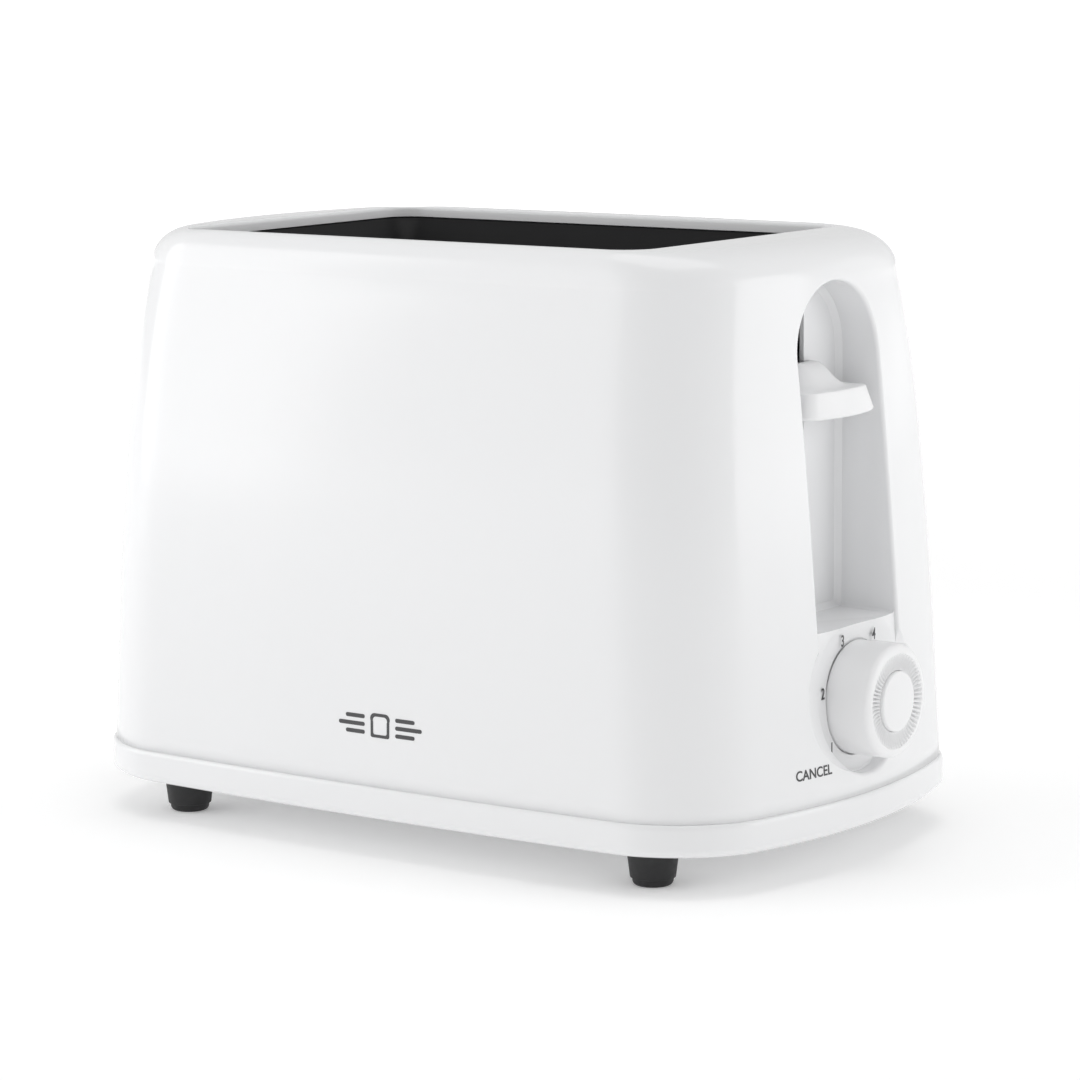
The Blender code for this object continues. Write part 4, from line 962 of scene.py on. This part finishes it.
def knob():
    """The browning knob: a ring of fine teeth on its face and a pointer rib on its side."""
    low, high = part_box("browning_knob")
    rear, face = PANEL_FACE - 0.0010, high[0] - MIDDLE_X + 0.0004
    radius = (high[1] - low[1]) / 2
    hole, cup, stem_hole, hub = 0.00892, 0.0142, 0.0036, 0.0055
    teeth, per_tooth = 60, 8
    sides = teeth * per_tooth
    pointer = math.radians(63)
    teeth_in, teeth_out = hole + 0.0003, 0.0139

    def ring(r, x, tooth=0.0, rib=0.0):
        points = []
        for i in range(sides):
            turn = 2 * math.pi * i / sides
            phase = (i % per_tooth) / per_tooth
            groove = tooth * (1 - abs(math.sin(math.pi * phase)))
            off = math.atan2(math.sin(turn - pointer), math.cos(turn - pointer)) * radius
            bulge = rib / (1 + math.exp((abs(off) - 0.0014) / 0.00022))
            reach = r + bulge
            points.append((x - groove, reach * math.cos(turn), DIAL_Z + reach * math.sin(turn)))
        return points

    rib = 0.0007
    rings = [ring(radius - 0.0022, rear + 0.004), ring(radius - 0.0020, rear + 0.0002)]
    rings += [ring(radius - 0.0016, rear), ring(radius - 0.0004, rear), ring(radius, rear + 0.0004)]
    rings += [ring(radius, PANEL_FACE + 0.0003), ring(radius, PANEL_FACE + 0.0007, 0, rib)]
    edge, edge_depth = 0.0026, 0.0026 * 0.7
    rings += [ring(radius, rear + (face - edge_depth - rear) * k / 4, 0, rib) for k in (2, 3, 4)]
    for k in range(1, 10):
        turn = math.radians(90 * k / 9)
        r = radius - edge + edge * math.cos(turn)
        rings.append(ring(r, face - edge_depth * (1 - math.sin(turn)), 0, rib * (1 - k / 9)))
    steps = 12
    for k in range(steps + 1):
        t = k / steps
        r = teeth_out + (teeth_in - teeth_out) * t
        depth = 0.00125 * min(1, 5 * t, 6 * (1 - t) + 0.3)
        rings.append(ring(r, face - 0.0006 * math.sin(math.pi * min(t * 0.8, 1)), depth))
    rings += [ring(hole, face - 0.0006), ring(hole, face - 0.0018)]
    rings += [ring(cup, face - 0.0018), ring(cup + 0.0001, face - 0.0060)]
    rings += [ring(hub, face - 0.0060), ring(hub, rear + 0.0006)]
    rings += [ring(stem_hole, rear + 0.0006), ring(stem_hole, face - 0.0046)]
    cap = loft("browning_knob_cap", rings, closed_ends=False)
    smooth(cap, 38)
    dress(shift_to_frame(cap), "knob", "knob_plastic", "browning_dial", "browning_knob")


def button():
    """The domed cancel button in the knob's middle, on its long stem."""
    low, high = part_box("cancel_button")
    face, stem_end = high[0] - MIDDLE_X, low[0] - MIDDLE_X
    radius = (high[1] - low[1]) / 2
    back = face - 0.0028
    stem, edge, chamfer, dome = 0.0013, 0.0008, 0.0002, 0.0008
    shoulder = face - dome - chamfer
    profile = [(0, stem_end), (stem, stem_end), (stem, back), (radius - chamfer, back)]
    profile += [(radius, back + chamfer), (radius, shoulder)]
    for k in range(1, 7):
        turn = math.radians(10 * k)
        profile.append((radius - edge * (1 - math.cos(turn)), shoulder + 0.0007 * math.sin(turn)))
    start_r, start_x = profile[-1]
    for k in range(1, 15):
        r = start_r * (1 - k / 14)
        profile.append((r, face - (face - start_x) * (r / start_r) ** 2))
    piece = lathe("cancel_button_dome", profile, "X", (0, 0, DIAL_Z), 96)
    smooth(piece, 38)
    dress(shift_to_frame(piece), "knob", "knob_plastic", "cancel_push", "cancel_button")


def spring():
    """The return spring, which stretches between the chassis lug and the carriage."""
    low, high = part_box("return_spring")
    x, y, _ = centre_of("return_spring")
    half_wire = 0.0004
    radius = (high[1] - low[1]) / 2 - half_wire
    turns, per_turn = 16, 24
    points = []
    for i in range(turns * per_turn + 1):
        turn = 2 * math.pi * i / per_turn
        z = low[2] + half_wire + (high[2] - low[2] - 2 * half_wire) * i / (turns * per_turn)
        points.append((x + radius * math.cos(turn), y + radius * math.sin(turn), z))
    coil = wire("return_spring_coil", [points], half_wire, 2)
    coil.data.materials.append(MATERIALS["bright"])
    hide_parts("return_spring")
    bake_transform(coil)


PRINT_THICKNESS = 0.00006
PRINT_LIFT = 0.00005
NUMBER_HEIGHT = 0.0034
NUMBER_RADIUS = 0.0191
FIRST_NUMBER = 223.5
NUMBER_STEP = 54
WORD_Y = -0.02715
WORD_Z = 0.0313
WORD_HEIGHT = 0.0030
WORD_WIDTH = 0.0153
EMBLEM_X = 0.0046
EMBLEM_Z = 0.0398


def letters(name, text, height, narrow):
    """A word as a thin mesh in its own X and Y, with its middle at the origin."""
    curve = bpy.data.curves.new(name, "FONT")
    curve.body = text
    curve.align_x = "CENTER"
    curve.align_y = "CENTER"
    curve.size = height / 0.70
    curve.extrude = PRINT_THICKNESS / 2
    curve.offset = height * 0.022
    curve.resolution_u = 6
    word = from_curve(name, curve)
    co = np.array([v.co for v in word.data.vertices])
    middle = (co.min(axis=0) + co.max(axis=0)) / 2
    tall = co[:, 1].max() - co[:, 1].min()
    for v in word.data.vertices:
        v.co.x = (v.co.x - middle[0]) * narrow * height / tall
        v.co.y = (v.co.y - middle[1]) * height / tall
    return word


def dial_numbers():
    """The browning settings, printed round the knob."""
    for k in range(6):
        turn = math.radians(FIRST_NUMBER - NUMBER_STEP * k)
        digit = letters(f"dial_number_{k + 1}", str(k + 1), NUMBER_HEIGHT, 0.80)
        y, z = NUMBER_RADIUS * math.cos(turn), DIAL_Z + 0.0003 + NUMBER_RADIUS * math.sin(turn)
        for v in digit.data.vertices:
            v.co = (PANEL_FACE + 0.00004 + v.co.z, y + v.co.x, z + v.co.y)
        dress(shift_to_frame(digit), "print", "black_plastic", "chassis")


def cancel_word():
    """The button's plain legend on the end face, below the dial."""
    word = letters("cancel_legend", "CANCEL", WORD_HEIGHT, 0.92)
    width = max(v.co.x for v in word.data.vertices) * 2
    for v in word.data.vertices:
        y, z = WORD_Y + v.co.x * WORD_WIDTH / width, WORD_Z + v.co.y
        v.co = (end_x(y, z) + PRINT_LIFT + v.co.z, y, z)
    dress(shift_to_frame(word), "print", "black_plastic", "chassis")


def flat_shape(name, loops):
    """A thin printed shape in X and Y: an outline, then any holes or further outlines."""
    curve = bpy.data.curves.new(name, "CURVE")
    curve.dimensions = "2D"
    curve.fill_mode = "BOTH"
    curve.extrude = PRINT_THICKNESS / 2
    for loop in loops:
        spline = curve.splines.new("POLY")
        spline.points.add(len(loop) - 1)
        for point, (u, v) in zip(spline.points, loop):
            point.co = (u, v, 0, 1)
        spline.use_cyclic_u = True
    return from_curve(name, curve)


def bread_outline(half_width, height, grow=0.0):
    """A slice of bread: straight sides, a rounded foot and two lobes at the top."""
    w, h = half_width + grow, height / 2 + grow
    lobe, foot = w * 0.42, 0.0006
    points = arc((w - foot, -h + foot), foot, -90, 0, 4)
    points += arc((w - lobe, h - lobe), lobe * 1.12, -25, 90, 8)
    points += arc((-w + lobe, h - lobe), lobe * 1.12, 90, 205, 8)
    points += arc((-w + foot, -h + foot), foot, 180, 270, 4)
    return points


def emblem():
    """A plain printed mark: the outline of a slice of bread between three bars on each side."""
    half_width, height, line = 0.0034, 0.0070, 0.0009
    start, pitch, half_bar, bar_end = 0.0056, 0.0023, 0.0006, 0.00055
    loops = [bread_outline(half_width, height), bread_outline(half_width, height, -line)]
    for side in (-1, 1):
        for row, length in ((-1, 0.0070), (0, 0.0096), (1, 0.0070)):
            low, high = sorted((side * start, side * (start + length)))
            middle = row * pitch
            loops.append(rounded_rectangle(low, middle - half_bar, high, middle + half_bar, bar_end, 4))
    mark = flat_shape("front_emblem", [subdivided(loop, 0.0015) for loop in loops])
    for v in mark.data.vertices:
        x, z = EMBLEM_X + v.co.x, EMBLEM_Z + v.co.y
        v.co = (x, front_y(x, z) - PRINT_LIFT - v.co.z, z)
    dress(shift_to_frame(mark), "print", "black_plastic", "chassis")


LOOKS = {
    "white_plastic": "housing",
    "knob_plastic": "knob",
    "black_coated_steel": "coating",
    "galvanised_steel": "galvanised",
    "bright_steel": "bright",
    "black_rubber": "rubber",
    "mica_board": "mica",
    "nichrome_ribbon": "nichrome",
    "copper_winding": "copper",
    "circuit_board": "board",
    "black_plastic": "black",
}


def dress_frame():
    """A finished material on every CAD node, by its slot in the record."""
    for entry in frame["record"]["subparts"]:
        obj = frame["nodes"][entry["node"]]
        obj.data.materials.clear()
        obj.data.materials.append(MATERIALS[LOOKS[entry["material_slot"]]])
        smooth(obj, 30)


# ---------------------------------------------------------------- the studio


def studio():
    """A pale seamless floor that glows a little more far out, a white surround and soft boxes."""
    bm = bmesh.new()
    bmesh.ops.create_grid(bm, x_segments=1, y_segments=1, size=12)
    floor = from_bmesh("studio_floor", bm)
    made, tree, shader, place = node_material("studio_floor_paint", (0.93, 0.93, 0.93), 0.7)
    tint = noise(tree, place, 3.0, 2.0)
    colour_ramp(tree, tint, shader.inputs["Base Color"], (0.925, 0.925, 0.925), (0.935, 0.935, 0.935))
    shader.inputs["Specular IOR Level"].default_value = 0.0
    shader.inputs["Emission Color"].default_value = (1, 1, 1, 1)
    outward = tree.nodes.new("ShaderNodeVectorMath")
    outward.operation = "LENGTH"
    tree.links.new(place, outward.inputs[0])
    glow = shader.inputs["Emission Strength"]
    number_ramp(tree, outward.outputs["Value"], glow, FLOOR_GLOW, FAR_FLOOR_GLOW, NEAR, FAR)
    floor.data.materials.append(made)
    surround()
    for name, *light in SOFT_BOXES:
        soft_box("soft_box_" + name, *light)


NEAR = 0.45
FAR = 2.4
FLOOR_GLOW = 0.174
FAR_FLOOR_GLOW = 0.62
HORIZON_GLOW = 0.69
OVERHEAD_GLOW = 0.534

# (name, azimuth from +X, distance from the middle, height, size, radiance)
SOFT_BOXES = (
    ("left", -150, 1.40, 0.42, (1.1, 0.8), 2.07),
    ("front", -118, 1.40, 0.42, (0.8, 0.8), 0.37),
    ("end", 28, 1.40, 0.42, (0.9, 0.8), 1.65),
    ("back", 65, 1.40, 0.42, (0.9, 0.8), 0.33),
    ("overhead", 0, 0.01, 1.60, (1.2, 1.2), 1.53),
)


def surround():
    """A world that is white to the eye, and lights the object from the horizon more than from above."""
    world = bpy.data.worlds.new("studio_surround")
    bpy.context.scene.world = world
    world.use_nodes = True
    tree = world.node_tree
    lit = tree.nodes["Background"]
    direction = tree.nodes.new("ShaderNodeSeparateXYZ")
    tree.links.new(tree.nodes.new("ShaderNodeTexCoord").outputs["Generated"], direction.inputs[0])
    lit.inputs["Color"].default_value = (1, 1, 1, 1)
    number_ramp(
        tree, direction.outputs["Z"], lit.inputs["Strength"], HORIZON_GLOW, OVERHEAD_GLOW, 0.0, 0.7
    )
    seen = tree.nodes.new("ShaderNodeBackground")
    seen.inputs["Color"].default_value = (1, 1, 1, 1)
    mix = tree.nodes.new("ShaderNodeMixShader")
    tree.links.new(tree.nodes.new("ShaderNodeLightPath").outputs["Is Camera Ray"], mix.inputs[0])
    tree.links.new(lit.outputs[0], mix.inputs[1])
    tree.links.new(seen.outputs[0], mix.inputs[2])
    tree.links.new(mix.outputs[0], tree.nodes["World Output"].inputs["Surface"])


def soft_box(name, azimuth, distance, height, size, radiance):
    """A rectangular light of even radiance, at an azimuth from +X, that faces the object."""
    light = bpy.data.lights.new(name, "AREA")
    light.shape = "RECTANGLE"
    light.size, light.size_y = size
    light.energy = radiance * math.pi * size[0] * size[1]
    obj = bpy.data.objects.new(name, light)
    turn = math.radians(azimuth)
    place = Vector((distance * math.cos(turn), distance * math.sin(turn), height))
    obj.location = place
    aim = Vector((0, 0, 0.10)) - place
    obj.rotation_euler = aim.to_track_quat("-Z", "Y").to_euler()
    obj.visible_camera = False
    bpy.context.scene.collection.objects.link(obj)


CAMERA_PLACE = (0.69005, -0.95446, 0.26804)
CAMERA_AZIMUTH = 35.741
CAMERA_ELEVATION = 8.856
CAMERA_ROLL = 0.409
CAMERA_LENS = 130.56


def camera():
    """A long lens off the corner between the front and the lever end, a little above the object."""
    data = bpy.data.cameras.new("photo_view")
    data.lens = CAMERA_LENS
    data.sensor_width = 36.0
    data.sensor_fit = "HORIZONTAL"
    data.clip_start = 0.05
    data.clip_end = 50
    obj = bpy.data.objects.new("photo_view", data)
    turn = Matrix.Rotation(math.radians(CAMERA_AZIMUTH), 4, "Z")
    tilt = Matrix.Rotation(math.radians(90 - CAMERA_ELEVATION), 4, "X")
    roll = Matrix.Rotation(math.radians(-CAMERA_ROLL), 4, "Z")
    obj.matrix_world = Matrix.Translation(CAMERA_PLACE) @ turn @ tilt @ roll
    bpy.context.scene.collection.objects.link(obj)
    bpy.context.scene.camera = obj


def main():
    dress_frame()
    camera()
    studio()
    housing()
    base()
    feet()
    slot_plate()
    guards()
    elements()
    lever()
    knob()
    button()
    spring()
    dial_numbers()
    cancel_word()
    emblem()
    bpy.context.scene.view_settings.view_transform = "Standard"


main()
